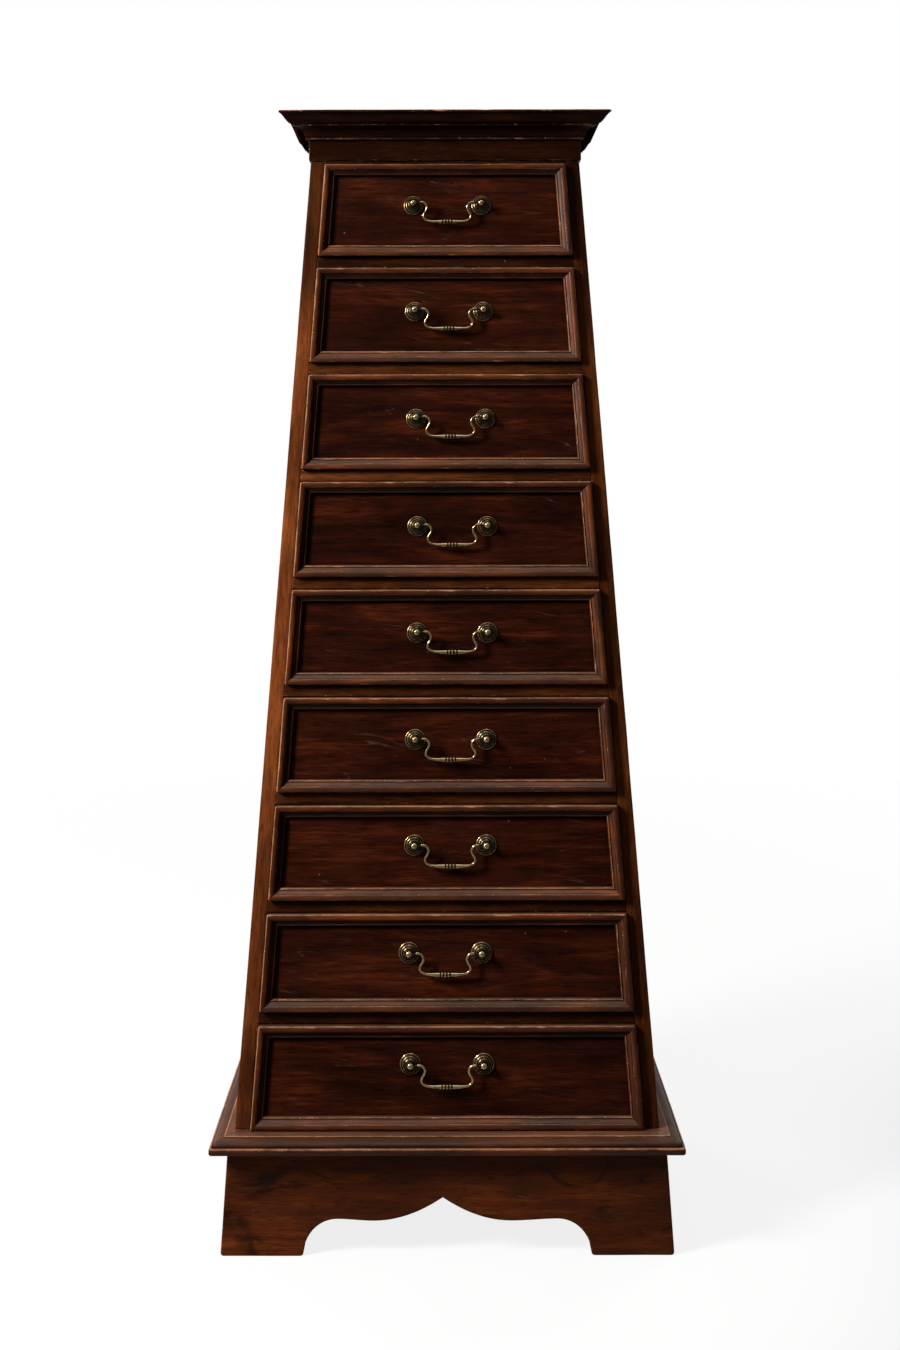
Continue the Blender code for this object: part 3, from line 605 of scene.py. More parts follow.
class Finish:
    """Adds shader nodes to one material and links them."""

    def __init__(self, name):
        self.material = bpy.data.materials.new(name)
        self.material.use_nodes = True
        self.tree = self.material.node_tree
        self.shader = self.tree.nodes["Principled BSDF"]

    def add(self, kind, inputs, output=0, **settings):
        """Add a node, set its options and feed its inputs, and give one of its outputs."""
        node = self.tree.nodes.new(kind)
        for key, value in settings.items():
            setattr(node, key, value)
        for key, value in inputs.items():
            self.feed(node.inputs[key], value)
        return node.outputs[output]

    def feed(self, socket, value):
        """Link an output to an input, or set the input's value."""
        if isinstance(value, bpy.types.NodeSocket):
            self.tree.links.new(value, socket)
        else:
            socket.default_value = value

    def shade(self, name, value):
        """Link or set one input of the main shader."""
        self.feed(self.shader.inputs[name], value)

    def surface(self, name, output="Fac"):
        """A mark stored on the mesh."""
        return self.add("ShaderNodeAttribute", {}, output, attribute_name=name)

    def maths(self, operation, first, second=0.0):
        """One sum of two values."""
        return self.add("ShaderNodeMath", {0: first, 1: second}, operation=operation)

    def scaled(self, value, factor, offset=0.0):
        """A value times a factor, plus an offset."""
        return self.add("ShaderNodeMath", {0: value, 1: factor, 2: offset}, operation="MULTIPLY_ADD")

    def product(self, first, *others):
        """Several values multiplied."""
        for other in others:
            first = self.maths("MULTIPLY", first, other)
        return first

    def mixture(self, values, shares):
        """Sum of values, each times its share."""
        total = 0.0
        for value, share in zip(values, shares):
            total = self.scaled(value, share, total)
        return total

    def without(self, value):
        """1 less a value."""
        return self.maths("SUBTRACT", 1.0, value)

    def cloud(self, vector, detail, roughness=0.5, distortion=0.0):
        """Soft random values from 0 to 1."""
        inputs = {"Vector": vector, "Scale": 1.0, "Detail": detail, "Roughness": roughness,
                  "Distortion": distortion}
        return self.add("ShaderNodeTexNoise", inputs, "Fac")

    def pattern(self, grain, waves, *looks):
        """Random values stretched along the grain."""
        stretched = self.add("ShaderNodeVectorMath", {0: grain, 1: waves}, operation="MULTIPLY")
        return self.cloud(stretched, *looks)

    def band(self, value, low, high):
        """Smooth step from 0 at one value to 1 at another."""
        inputs = {"Value": value, "From Min": low, "From Max": high}
        return self.add("ShaderNodeMapRange", inputs, interpolation_type="SMOOTHSTEP")

    def blend(self, share, first, second):
        """Mix two colours."""
        return self.add("ShaderNodeMix", {0: share, 6: first, 7: second}, 2, data_type="RGBA")

    def brighten(self, tint, factor):
        """A colour times a factor."""
        return self.add("ShaderNodeVectorMath", {0: tint, "Scale": factor}, operation="SCALE")

    def bump(self, height, strength, distance):
        """Fine relief."""
        inputs = {"Height": height, "Strength": strength, "Distance": distance}
        return self.add("ShaderNodeBump", inputs)


class Mahogany(Finish):
    """The marks and patterns that the layers of a polished mahogany share."""

    def __init__(self, name):
        super().__init__(name)
        self.grain = self.surface("grain", "Vector")
        self.wear_and_highlight = self.surface("wear_and_highlight")
        self.streaks = self.pattern(self.grain, *STREAKS)
        self.pores = self.pattern(self.grain, *PORES)
        self.patches = self.pattern(self.grain, *PATCHES)
        self.mottle = self.pattern(self.grain, *MOTTLE)


def opaque(tint):
    """A colour setting with an alpha value."""
    return (*tint, 1.0)


def figured(wood, deep, mid, light):
    """Colour of the grain: ribbons and streaks of three browns, dark pores and an uneven patina."""
    ribbon = wood.pattern(wood.grain, *RIBBON)
    figure = wood.mixture((ribbon, wood.streaks), FIGURE_SHARES)
    tint = wood.blend(wood.band(figure, *MID_EDGES), opaque(deep), opaque(mid))
    tint = wood.blend(wood.band(figure, *LIGHT_EDGES), tint, opaque(light))
    tint = wood.brighten(tint, wood.scaled(wood.band(wood.pores, *PORE_EDGES), *PORE_LIGHT))
    tint = wood.brighten(tint, wood.scaled(wood.band(wood.patches, *PATCH_EDGES), *PATINA_LIGHT))
    tone = wood.surface("tone", "Vector")
    return wood.add("ShaderNodeVectorMath", {0: tint, 1: tone}, operation="MULTIPLY")


def stained(wood, tint, share):
    """Colour with dark stains."""
    spread = wood.band(wood.pattern(wood.grain, *STAINS), *STAIN_EDGES)
    return wood.brighten(tint, wood.scaled(spread, -share, 1.0))


def rubbed_places(wood):
    """1 where the polish is rubbed away, which is mostly along worn edges."""
    specks = wood.pattern(wood.grain, *SPECKS)
    rub_and_highlight = wood.mixture((wood.mottle, specks, wood.patches, wood.wear_and_highlight), RUB_SHARES)
    return wood.band(rub_and_highlight, *RUB_EDGES)


def scratches(wood):
    """Hairlines at a slant to the grain, in some places only."""
    inputs = {"Vector": wood.grain, "Angle": SCRATCH_SLANT}
    slanted = wood.add("ShaderNodeVectorRotate", inputs, rotation_type="Z_AXIS")
    lines = wood.pattern(slanted, *SCRATCHES)
    from_line = wood.maths("ABSOLUTE", wood.maths("SUBTRACT", lines, LINE_MIDDLE))
    hairline = wood.without(wood.band(from_line, *HAIRLINE_EDGES))
    places = wood.band(wood.pattern(wood.grain, *SCRATCHED), *SCRATCHED_EDGES)
    return wood.product(hairline, places, SCRATCH_SHARE)


def round_marks(wood, per_metre, edges, places, place_edges):
    """Small round marks, in some places only."""
    inputs = {"Vector": wood.grain, "Scale": per_metre}
    distance = wood.add("ShaderNodeTexVoronoi", inputs, "Distance")
    mark_places = wood.band(wood.pattern(wood.grain, *places), *place_edges)
    return wood.product(wood.without(wood.band(distance, *edges)), mark_places)


def dust_and_sheen(wood):
    """Dust on faces that look up, which also serves as a painted sheen on the up-facing slopes of the
    mouldings.
    """
    normal = wood.add("ShaderNodeNewGeometry", {}, "Normal")
    upward = wood.add("ShaderNodeSeparateXYZ", {0: normal}, "Z")
    return wood.product(wood.band(upward, *DUST_AND_SHEEN_SLOPES), wood.scaled(wood.mottle, *DUST_AND_SHEEN_SHARE))


def dirtied_and_shaded(wood, tint):
    """Colour darkened by the grime in corners and grooves, and by the painted shade that the same marks
    carry along the drawer frames and panels.
    """
    dirt_and_shade = wood.product(wood.surface("grime_and_shade"), wood.scaled(wood.mottle, *DIRT_AND_SHADE_SHARE))
    return wood.brighten(tint, wood.without(wood.maths("MINIMUM", dirt_and_shade, DIRT_AND_SHADE_LIMIT)))


def polished_mahogany(name, browns, colours, polish, stains, smoothest):
    """Old polished mahogany: ribbon figure, streaks and pores, worn edges, grime, dust, scuffs and
    scratches; its wear, grime and dust marks also carry painted highlights, painted shade and a painted
    sheen.
    """
    wood = Mahogany(name)
    tint = figured(wood, *browns)
    if stains:
        tint = stained(wood, tint, stains)
    rubbed = rubbed_places(wood)
    bare = wood.brighten(tuple(colours.worn), wood.scaled(wood.streaks, *BARE_LIGHT))
    tint = wood.blend(wood.scaled(rubbed, RUBBED_SHARE), tint, bare)
    scratch = scratches(wood)
    tint = wood.blend(scratch, tint, opaque(colours.scuff))
    spots = round_marks(wood, SPOTS_PER_METRE, SPOT_EDGES, SPOTTED, SPOTTED_EDGES)
    spot = wood.scaled(spots, SPOT_SHARE)
    tint = wood.blend(spot, tint, opaque(colours.scuff))
    chips = round_marks(wood, CHIPS_PER_METRE, CHIP_EDGES, CHIPPED, CHIPPED_EDGES)
    chip = wood.product(chips, wood.band(wood.wear_and_highlight, *CHIP_WEAR), CHIP_SHARE)
    tint = wood.blend(chip, tint, opaque(colours.chip))
    # Dust, and painted sheen on up-facing slopes.
    tint = wood.blend(dust_and_sheen(wood), tint, opaque(colours.dust_and_sheen))
    wood.shade("Base Color", dirtied_and_shaded(wood, tint))
    rough = wood.scaled(wood.mottle, MOTTLE_ROUGH, smoothest)
    wood.shade("Roughness", wood.scaled(rubbed, RUBBED_ROUGH, rough))
    pits = wood.band(wood.pores, *PIT_EDGES)
    relief = wood.mixture((wood.streaks, pits, wood.mottle, scratch, spot), RELIEF_SHARES)
    wood.shade("Normal", wood.bump(relief, *WOOD_BUMP))
    wood.shade("Specular IOR Level", POLISH_SHINE * polish)
    return wood.material


def bare_lining(name, colours):
    """Unpolished timber inside and behind the chest."""
    wood = Finish(name)
    grain = wood.surface("grain", "Vector")
    fibres = wood.pattern(grain, *LINING_FIBRES)
    bands = wood.band(wood.pattern(grain, *LINING_BANDS), *LINING_EDGES)
    tint = wood.blend(bands, opaque(colours.lining_dark), opaque(colours.lining))
    tint = wood.brighten(tint, wood.scaled(fibres, *FIBRE_LIGHT))
    tint = wood.brighten(tint, wood.scaled(wood.pattern(grain, *LINING_PATCHES), *LINING_LIGHT))
    tint = wood.brighten(tint, wood.scaled(wood.surface("wear_and_highlight"), -LINING_WEAR, wood.surface("tone")))
    wood.shade("Base Color", tint)
    wood.shade("Roughness", wood.scaled(fibres, *LINING_ROUGH))
    wood.shade("Normal", wood.bump(fibres, *LINING_BUMP))
    wood.shade("Specular IOR Level", LINING_SHINE)
    return wood.material


def antique_brass(name, colours):
    """Brass gone dark with age, rubbed bright where fingers touch it; its wear and grime marks also carry a
    painted highlight on the upper left and painted shade on the lower right.
    """
    metal = Finish(name)
    grain = metal.surface("grain", "Vector")
    tarnish = metal.pattern(grain, *TARNISH)
    old = metal.mixture((tarnish, metal.surface("grime_and_shade"), metal.surface("wear_and_highlight")), OLD_SHARES)
    aged = metal.band(old, *AGE_EDGES)
    metal.shade("Base Color", metal.blend(aged, opaque(colours.brass), opaque(colours.brass_dark)))
    metal.shade("Metallic", 1.0)
    metal.shade("Roughness", metal.scaled(aged, *BRASS_ROUGH))
    metal.shade("Normal", metal.bump(metal.pattern(grain, *BRASS_GRAIN), *BRASS_BUMP))
    return metal.material


def finish_material(slot, polish):
    """The material of one of the record's finishes, made when it is first asked for."""
    name = "finish_" + slot
    if slot in MAHOGANIES:
        name += f"_{round(100 * polish)}"
    if name in bpy.data.materials:
        return bpy.data.materials[name]
    colours = bpy.context.scene.chest_colours
    if slot in MAHOGANIES:
        timber, stains, smoothest = MAHOGANIES[slot]
        browns = [getattr(colours, f"{timber}_{depth}") for depth in ("deep", "mid", "light")]
        return polished_mahogany(name, browns, colours, polish, stains, smoothest)
    if slot == "lining_wood":
        return bare_lining(name, colours)
    if slot == "antique_brass":
        return antique_brass(name, colours)
    raise ValueError(f"no finish is known for the slot {slot}")


# Case

STILE_NICKS = 10
RAIL_NICKS = 3
SIDE_NICKS = 8


def stile(side, word, sizes):
    """One upright of the face frame."""
    stile_width = front_margin() - sizes.front_gap
    ends = []
    for z in (FOOT_LOW.z, HEAD_LOW.z):
        outer = side * half_width(z)
        inner = side * (half_width(z) - stile_width)
        y = face_y(z)
        ends.append([(outer, y, z), (inner, y, z), (inner, y + FACE_THICK, z), (outer, y + FACE_THICK, z)])
    replaces = ("face_frame",) if side < 0 else ()
    # Painted shade on the right stile.
    tone = PLAIN_TONE if side < 0 else RIGHT_STILE_PAINTED_SHADE
    add_board(f"stile_{word}", "carcass", "case_mahogany", ends, sizes, tone, STILE_NICKS, replaces)


def rail(name, low, high, sizes):
    """One rail of the face frame between the stiles."""
    stile_width = front_margin() - sizes.front_gap
    ends = []
    for side in (-1, 1):
        corners = []
        for z, depth in ((low, 0), (low, FACE_THICK), (high, FACE_THICK), (high, 0)):
            x = side * (half_width(z) - stile_width - sizes.joint)
            corners.append((x, face_y(z) + depth, z))
        ends.append(corners)
    # Darker wood and painted shade of the frames above.
    add_board(name, "carcass", "case_mahogany", ends, sizes, RAIL_TONE_AND_SHADE, RAIL_NICKS)


def rails(sizes):
    """The rails between the drawers, and the narrow one over the top drawer."""
    for number in DRAWERS:
        _, top = front_span(number)
        above = HEAD_LOW.z if number == 1 else front_span(number - 1)[0] - sizes.front_gap
        rail(f"rail_{number}", top + sizes.front_gap, above, sizes)


def side_board(side, word, sizes):
    """One leaning side of the case."""
    node = f"{word}_side"
    low, high = level_corners(node, top=False)
    thick = high.x - low.x
    ends = []
    for z in (FOOT_LOW.z, HEAD_LOW.z):
        outer = side * half_width(z)
        inner = side * (half_width(z) - thick)
        front = face_y(z) + FACE_THICK + sizes.joint
        ends.append([(outer, front, z), (inner, front, z), (inner, BACK_Y, z), (outer, BACK_Y, z)])
    # Painted shade on the sides.
    add_board(f"side_{word}", "carcass", "case_mahogany", ends, sizes, SIDE_TONE_AND_SHADE, SIDE_NICKS, (node,))
    return thick


def runners(side, word, side_thick, sizes):
    """The strips that a side of the case carries its drawers on."""
    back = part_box("back_panel")[0].y
    for number in DRAWERS[:-1]:
        tray_low, tray_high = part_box(f"drawer_{number}_tray")
        top = tray_low.z - sizes.joint
        inner = side * (tray_high.x - sizes.runner_bearing)
        outer = side * (half_width(top) - side_thick - sizes.joint)
        ends = []
        for y in (face_y(top) + FACE_THICK + sizes.front_gap, back - sizes.front_gap):
            low = top - sizes.runner_height
            ends.append([(inner, y, low), (outer, y, low), (outer, y, top), (inner, y, top)])
        add_board(f"runner_{word}_{number}", "carcass", "lining_wood", ends, sizes)


class CHEST_OT_case(Operator):
    """Build the face frame, the leaning sides and the drawer runners"""

    bl_idname = "chest.case"
    bl_label = "Case"

    def execute(self, context):
        sizes = context.scene.chest_sizes
        rails(sizes)
        for side, word in ((-1, "left"), (1, "right")):
            stile(side, word, sizes)
            thick = side_board(side, word, sizes)
            runners(side, word, thick, sizes)
        return {"FINISHED"}


# Back, bottom and other plain boards

def lining_boards(sizes):
    """Back panel, case bottom and the plinth's back."""
    ends = []
    for top in (False, True):
        low, high = level_corners("back_panel", top)
        corners = ((low.x, low.y), (high.x, low.y), (high.x, high.y), (low.x, high.y))
        ends.append([(x, y, low.z) for x, y in corners])
    add_board("back_panel_board", "carcass", "lining_wood", ends, sizes, replaces=("back_panel",))
    ends = slab(*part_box("case_bottom"))
    add_board("case_bottom_board", "carcass", "lining_wood", ends, sizes, replaces=("case_bottom",))
    floor_low, floor_high = level_corners("plinth_back", top=False)
    top_low, top_high = level_corners("plinth_back", top=True)
    ends = []
    for floor_x, top_x in ((floor_low.x, top_low.x), (floor_high.x, top_high.x)):
        ends.append([(floor_x, floor_low.y, floor_low.z), (floor_x, BACK_Y, floor_low.z),
                     (top_x, BACK_Y, top_low.z), (top_x, floor_low.y, top_low.z)])
    add_board("plinth_back_board", "carcass", "lining_wood", ends, sizes, replaces=("plinth_back",))


class CHEST_OT_lining(Operator):
    """Build the plain boards behind and inside the chest"""

    bl_idname = "chest.lining"
    bl_label = "Lining"

    def execute(self, context):
        lining_boards(context.scene.chest_sizes)
        return {"FINISHED"}


# Mouldings that run along the left side, across the front and along the right side

def wrapped(profile, half, front):
    """Rings at the back left, front left, front right and back right of a wrapped moulding.

    A profile point is its inset from the outer edge at the sides and at the front, and its height.
    """
    return [
        [(-(half - side), BACK_Y, z) for side, _, z in profile],
        [(-(half - side), front + face, z) for side, face, z in profile],
        [(half - side, front + face, z) for side, face, z in profile],
        [(half - side, BACK_Y, z) for side, _, z in profile],
    ]


def wrap_mouldings(name, rings, rows, sizes, nicks, tone, polish, replaces, rubbed):
    """Three mitred lengths of moulding. The last four values are given for each length by its word."""
    marks = ([row[2] for row in rows], [row[3] for row in rows])
    for word, ends in rings.items():
        add_moulding(f"{name}_{word}", "carcass", "case_mahogany", ends, marks, sizes, tone[word],
                     polish[word], nicks, replaces[word], rubbed[word])


def arc(centre, radii, start, end, steps):
    """Points of an elliptic arc between two angles in degrees."""
    points = []
    for i in range(steps + 1):
        angle = math.radians(start + (end - start) * i / steps)
        points.append((centre[0] + radii[0] * math.cos(angle), centre[1] + radii[1] * math.sin(angle)))
    return points


# Crown from the frieze out to its lip: shares of its reach and height, wear, grime
CROWN_BEAD = (
    (0.000, 0.000, 0.0, 1.0), (0.090, 0.000, 0.4, 0.4), (0.105, 0.020, 1.0, 0.0),
    (0.105, 0.080, 0.8, 0.2), (0.120, 0.095, 0.2, 0.9),
)
CROWN_LIP = (
    (0.575, 0.470, 0.9, 0.0), (0.585, 0.520, 0.9, 0.0), (0.595, 0.530, 0.2, 1.0), (0.640, 0.535, 0.3, 0.7),
    (0.675, 0.562, 0.0, 0.4), (0.720, 0.608, 0.1, 0.2), (0.780, 0.682, 0.1, 0.1), (0.840, 0.768, 0.1, 0.1),
    (0.900, 0.842, 0.1, 0.2), (0.950, 0.884, 0.0, 0.6), (0.975, 0.893, 0.1, 0.8), (0.985, 0.905, 0.5, 0.2),
    (1.000, 0.925, 0.6, 0.0), (1.000, 0.975, 1.0, 0.0), (0.985, 0.998, 1.0, 0.0), (0.930, 1.000, 0.5, 0.0),
    (0.850, 1.000, 0.0, 0.0), (0.000, 1.000, 0.0, 0.3),
)
COVE_CENTRE = (0.560, 0.095)
COVE_RADII = (0.420, 0.370)
COVE_STEPS = 7
COVE_MARKS = (0.0, 0.35)
CROWN_NICKS = 6


def crown_profile():
    """Rows of the whole crown, with a hollow cove between its bead and its lip."""
    cove = arc(COVE_CENTRE, COVE_RADII, 180, 90, COVE_STEPS)
    return [*CROWN_BEAD, *((*point, *COVE_MARKS) for point in cove[1:]), *CROWN_LIP]


def crown_rings(reach, low, high, sizes):
    """Rings of the crown moulding at a reach from the frieze."""
    frieze_low, frieze_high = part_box("frieze")
    profile = []
    for out, rise, _, _ in crown_profile():
        inset = reach - max(reach * out, sizes.joint)
        profile.append((inset, inset, low + (high - low) * rise))
    return wrapped(profile, frieze_high.x + reach, frieze_low.y - reach)


def crown(sizes):
    """Crown moulding round the top. Its front length reaches out further than its side lengths."""
    low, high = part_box("crown_front")
    across = crown_rings(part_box("frieze")[0].y - low.y, low.z, high.z, sizes)
    along = crown_rings(sizes.side_crown_reach, low.z, high.z, sizes)
    rings = {"left": along[0:2], "front": across[1:3], "right": along[2:4]}
    tone = {"left": CROWN_SIDE_TONE, "front": CROWN_FRONT_TONE, "right": CROWN_SIDE_TONE}
    replaces = {word: (f"crown_{word}",) for word in rings}
    wrap_mouldings("crown_moulding", rings, crown_profile(), sizes, CROWN_NICKS, tone, CROWN_POLISH,
                   replaces, dict.fromkeys(rings))


def frieze(sizes):
    """Plain band under the crown: three mitred boards."""
    low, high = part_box("frieze")
    half = high.x
    thick = sizes.frieze_thick
    corners = []
    for inset in (0.0, thick):
        corners.append([(-(half - inset), BACK_Y), (-(half - inset), low.y + inset),
                        (half - inset, low.y + inset), (half - inset, BACK_Y)])
    for i, word in enumerate(("left", "front", "right")):
        ends = []
        for k in (i, i + 1):
            outer = corners[0][k]
            inner = corners[1][k]
            ends.append([(*outer, low.z), (*inner, low.z), (*inner, high.z), (*outer, high.z)])
        replaces = ("frieze",) if word == "front" else ()
        # Painted shade of the crown on the frieze.
        add_board(f"frieze_{word}", "carcass", "case_mahogany", ends, sizes, FRIEZE_TONE_AND_SHADE, replaces=replaces)


class CHEST_OT_crown(Operator):
    """Build the frieze, the crown moulding and the top"""

    bl_idname = "chest.crown"
    bl_label = "Crown"

    def execute(self, context):
        sizes = context.scene.chest_sizes
        frieze(sizes)
        crown(sizes)
        ends = slab(*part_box("top_board"))
        add_board("top_panel", "carcass", "case_mahogany", ends, sizes, replaces=("top_board",))
        return {"FINISHED"}


# Base moulding

FILLET_SHARE = 0.50
BASE_STRIP = 0.042
BASE_NICKS = 9
BASE_ROUND_REACH = 0.018

# Base moulding from its inner lower edge to its quarter round, and on to its top:
# inset, the level that its height counts from, height, wear, grime
BASE_LOWER = (
    (BASE_STRIP, "low", 0.0000, 0.0, 0.80), (0.0040, "low", 0.0000, 0.1, 0.50),
    (0.0014, "low", 0.0000, 0.4, 0.30), (0.0004, "low", 0.0005, 0.6, 0.20),
    (0.0000, "low", 0.0016, 0.3, 0.45), (0.0000, "fillet", -0.0030, 0.3, 0.40),
    (0.0001, "fillet", -0.0014, 1.2, 0.00), (0.0007, "fillet", -0.0004, 1.3, 0.00),
    (0.0022, "fillet", 0.0000, 1.2, 0.00), (0.0028, "fillet", 0.0000, 0.0, 1.00),
    (0.0040, "fillet", 0.0004, 0.0, 1.00), (0.0042, "fillet", 0.0012, 0.0, 0.90),
)
BASE_UPPER = (
    (0.0176, "high", -0.0012, 0.0, 0.90), (0.0178, "high", -0.0006, 1.0, 0.00),
    (0.0181, "high", -0.0001, 1.5, 0.00), (0.0187, "high", 0.0000, 1.5, 0.00),
    (0.0197, "high", 0.0000, 0.5, 0.00), (0.0235, "high", 0.0000, 0.2, 0.00),
    (0.0300, "high", 0.0000, 0.1, 0.20), (BASE_STRIP, "high", 0.0000, 0.0, 0.80),
)
QUARTER_INSET = 0.0172
QUARTER_WIDTH = 0.0130
QUARTER_LIFT = 0.0012
QUARTER_DROP = 0.0014
QUARTER_STEPS = 8
QUARTER_WORN_STEPS = (3, 4)
QUARTER_WEAR = (0.10, 0.45)
QUARTER_GRIME = 0.62


def base_profile(low, high):
    """Rows of the base moulding as inset, height, wear and grime."""
    levels = {"low": low, "fillet": low + (high - low) * FILLET_SHARE, "high": high}
    lower, upper = [
        [(inset, levels[level] + height, *marks) for inset, level, height, *marks in rows]
        for rows in (BASE_LOWER, BASE_UPPER)
    ]
    foot = levels["fillet"] + QUARTER_LIFT
    radii = (QUARTER_WIDTH, high - QUARTER_DROP - foot)
    quarter = []
    for i, point in enumerate(arc((QUARTER_INSET, foot), radii, 180, 90, QUARTER_STEPS)[1:], 1):
        quarter.append((*point, QUARTER_WEAR[i in QUARTER_WORN_STEPS], QUARTER_GRIME))
    return lower + quarter + upper


def base_moulding(sizes):
    """Moulded frame that the case stands on. Its outer corners are rubbed round."""
    low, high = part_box("base_moulding")
    rows = base_profile(low.z, high.z)
    corners = wrapped([(inset, inset, z) for inset, z, _, _ in rows], high.x, low.y)
    rings = {"left": corners[0:2], "front": corners[1:3], "right": corners[2:4]}
    replaces = {"left": (), "front": ("base_moulding",), "right": ()}
    outer = sizes.base_round * np.array([max(0.0, 1 - row[0] / BASE_ROUND_REACH) for row in rows])
    still = np.zeros((len(rows), 3))
    front_left = np.stack([outer, outer, 0 * outer], axis=1)
    front_right = np.stack([-outer, outer, 0 * outer], axis=1)
    rubbed = {"left": (still, front_left), "front": (front_left, front_right), "right": (front_right, still)}
    tone = dict.fromkeys(rings, BASE_TONE)
    wrap_mouldings("base_frame", rings, rows, sizes, BASE_NICKS, tone, BASE_POLISH, replaces, rubbed)


# Plinth

FOOT_STEPS = 12
DIP_STEPS = 8
PEAK_STEPS = 16
CORNER_STEPS = 6
TOE_SHARE = 0.8
MITRE_LIMIT = 0.35
FACE_INSET = 1.7
PLATE_WEAR = (0.0, 0.7, 1.0, 0.7, 0.1)


def foot_edge_curve(foot_edge, sizes):
    """Lower edge from the inside of a foot up to the apron, towards smaller x."""
    radii = (sizes.foot_curve, sizes.apron_clear)
    curve = arc((foot_edge - sizes.foot_curve, 0.0), radii, 0, 90, FOOT_STEPS)
    return [Vector(point) for point in curve]


def peak_edge_curve(start_x, peak_x, sizes):
    """Lower edge from a foot's curve, down a little and then up to the apron's point."""
    points = []
    dip_x = sizes.peak_half + peak_x
    low = sizes.apron_clear - sizes.apron_dip
    for i in range(1, DIP_STEPS + 1):
        share = i / DIP_STEPS
        sag = sizes.apron_dip * share * share * (3 - 2 * share)
        points.append(Vector((start_x + (dip_x - start_x) * share, sizes.apron_clear - sag)))
    for i in range(1, PEAK_STEPS + 1):
        share = i / PEAK_STEPS
        rise = (sizes.apron_peak - low) * share ** 2
        points.append(Vector((dip_x + (peak_x - dip_x) * share, low + rise)))
    return points


def offset_outline(outline, amount):
    """A closed outline moved in by an amount. The outline runs clockwise or anticlockwise."""
    area = sum(a.cross(b) for a, b in zip(outline, outline[1:] + outline[:1]))
    turn = 1 if area > 0 else -1
    moved = []
    for i, point in enumerate(outline):
        before = (point - outline[i - 1]).normalized()
        after = (outline[(i + 1) % len(outline)] - point).normalized()
        first = turn * Vector((-before.y, before.x))
        second = turn * Vector((-after.y, after.x))
        moved.append(point + (first + second) * (amount / max(MITRE_LIMIT, 1 + first.dot(second))))
    return moved


def plate_surface(outline, thick, sizes, place):
    """Rings, wear and grime of a shaped board: its outline goes through its thickness, with eased edges."""
    ease = sizes.plinth_ease
    middle = ease * EASE_MIDDLE
    steps = ((FACE_INSET * ease, 0.0), (ease, 0.0), (middle, middle), (0.0, ease), (0.0, thick / 2))
    layers = [(*step, worn) for step, worn in zip(steps, PLATE_WEAR)]
    layers += [(inset, thick - depth, wear_and_highlight) for inset, depth, wear_and_highlight in reversed(layers[:-1])]
    rings = []
    wear_and_highlight = []
    for inset, depth, amount in layers:
        shape = offset_outline(outline, inset) if inset else outline
        rings.append([place(point, depth) for point in shape])
        wear_and_highlight.append([amount] * len(outline))
    return np.array(rings), np.array(wear_and_highlight), np.zeros((len(layers), len(outline)))


def long_edge(start, end, spacing):
    """Points along a straight edge, without its first."""
    count = max(1, round((end - start).length / spacing))
    return [start.lerp(end, i / count) for i in range(1, count + 1)]


def bent_corner(before, corner, after, radius):
    """Points of a rounded corner between two straight edges."""
    start = corner + (before - corner).normalized() * radius
    end = corner + (after - corner).normalized() * radius
    points = []
    for i in range(CORNER_STEPS + 1):
        share = i / CORNER_STEPS
        points.append(start * (1 - share) ** 2 + corner * 2 * share * (1 - share) + end * share ** 2)
    return points


def foot_outline(top_corner, floor_corner, foot, sizes):
    """Outline from a board's top corner down its edge, under the foot and up the foot's inner curve."""
    heel = bent_corner(top_corner, floor_corner, foot[0], sizes.foot_round)
    toe = bent_corner(floor_corner, foot[0], foot[2], sizes.foot_round * TOE_SHARE)
    points = [top_corner] + long_edge(top_corner, heel[0], sizes.edge_spacing) + heel[1:]
    return points + long_edge(heel[-1], toe[0], sizes.edge_spacing) + toe[1:] + foot[3:]


def plinth_front(sizes):
    """Front of the plinth with bracket feet and a shaped apron."""
    floor_low, floor_high = level_corners("plinth_front", top=False)
    _, top_high = level_corners("plinth_front", top=True)
    foot = foot_edge_curve(floor_high.x - sizes.foot_width, sizes)
    edge = foot_outline(Vector((top_high.x, top_high.z)), Vector((floor_high.x, 0.0)), foot, sizes)
    top_middle = Vector((0.0, top_high.z))
    half = long_edge(top_middle, edge[0], sizes.edge_spacing) + edge[1:]
    outline = half + peak_edge_curve(foot[-1].x, -sizes.peak_left, sizes)
    mirrored = half + peak_edge_curve(foot[-1].x, sizes.peak_left, sizes)
    outline += [Vector((-point.x, point.y)) for point in reversed(mirrored[:-1])]
    outline.append(top_middle)

    def place(point, depth):
        return (point.x, floor_low.y + depth, point.y)

    surface = plate_surface(outline, sizes.plinth_thick, sizes, place)
    rings = wavy(surface[0], sizes.waviness, random.Random("plinth front"))
    tones = np.interp(rings[..., 0].ravel(), *np.transpose(PLINTH_FRONT_TONES))
    add_piece("plinth_front_board", "carcass", "plinth_mahogany", (rings, *surface[1:]), (1, 0, 0),
              np.outer(tones, PLAIN_TONE), PLINTH_POLISH, ("plinth_front",))


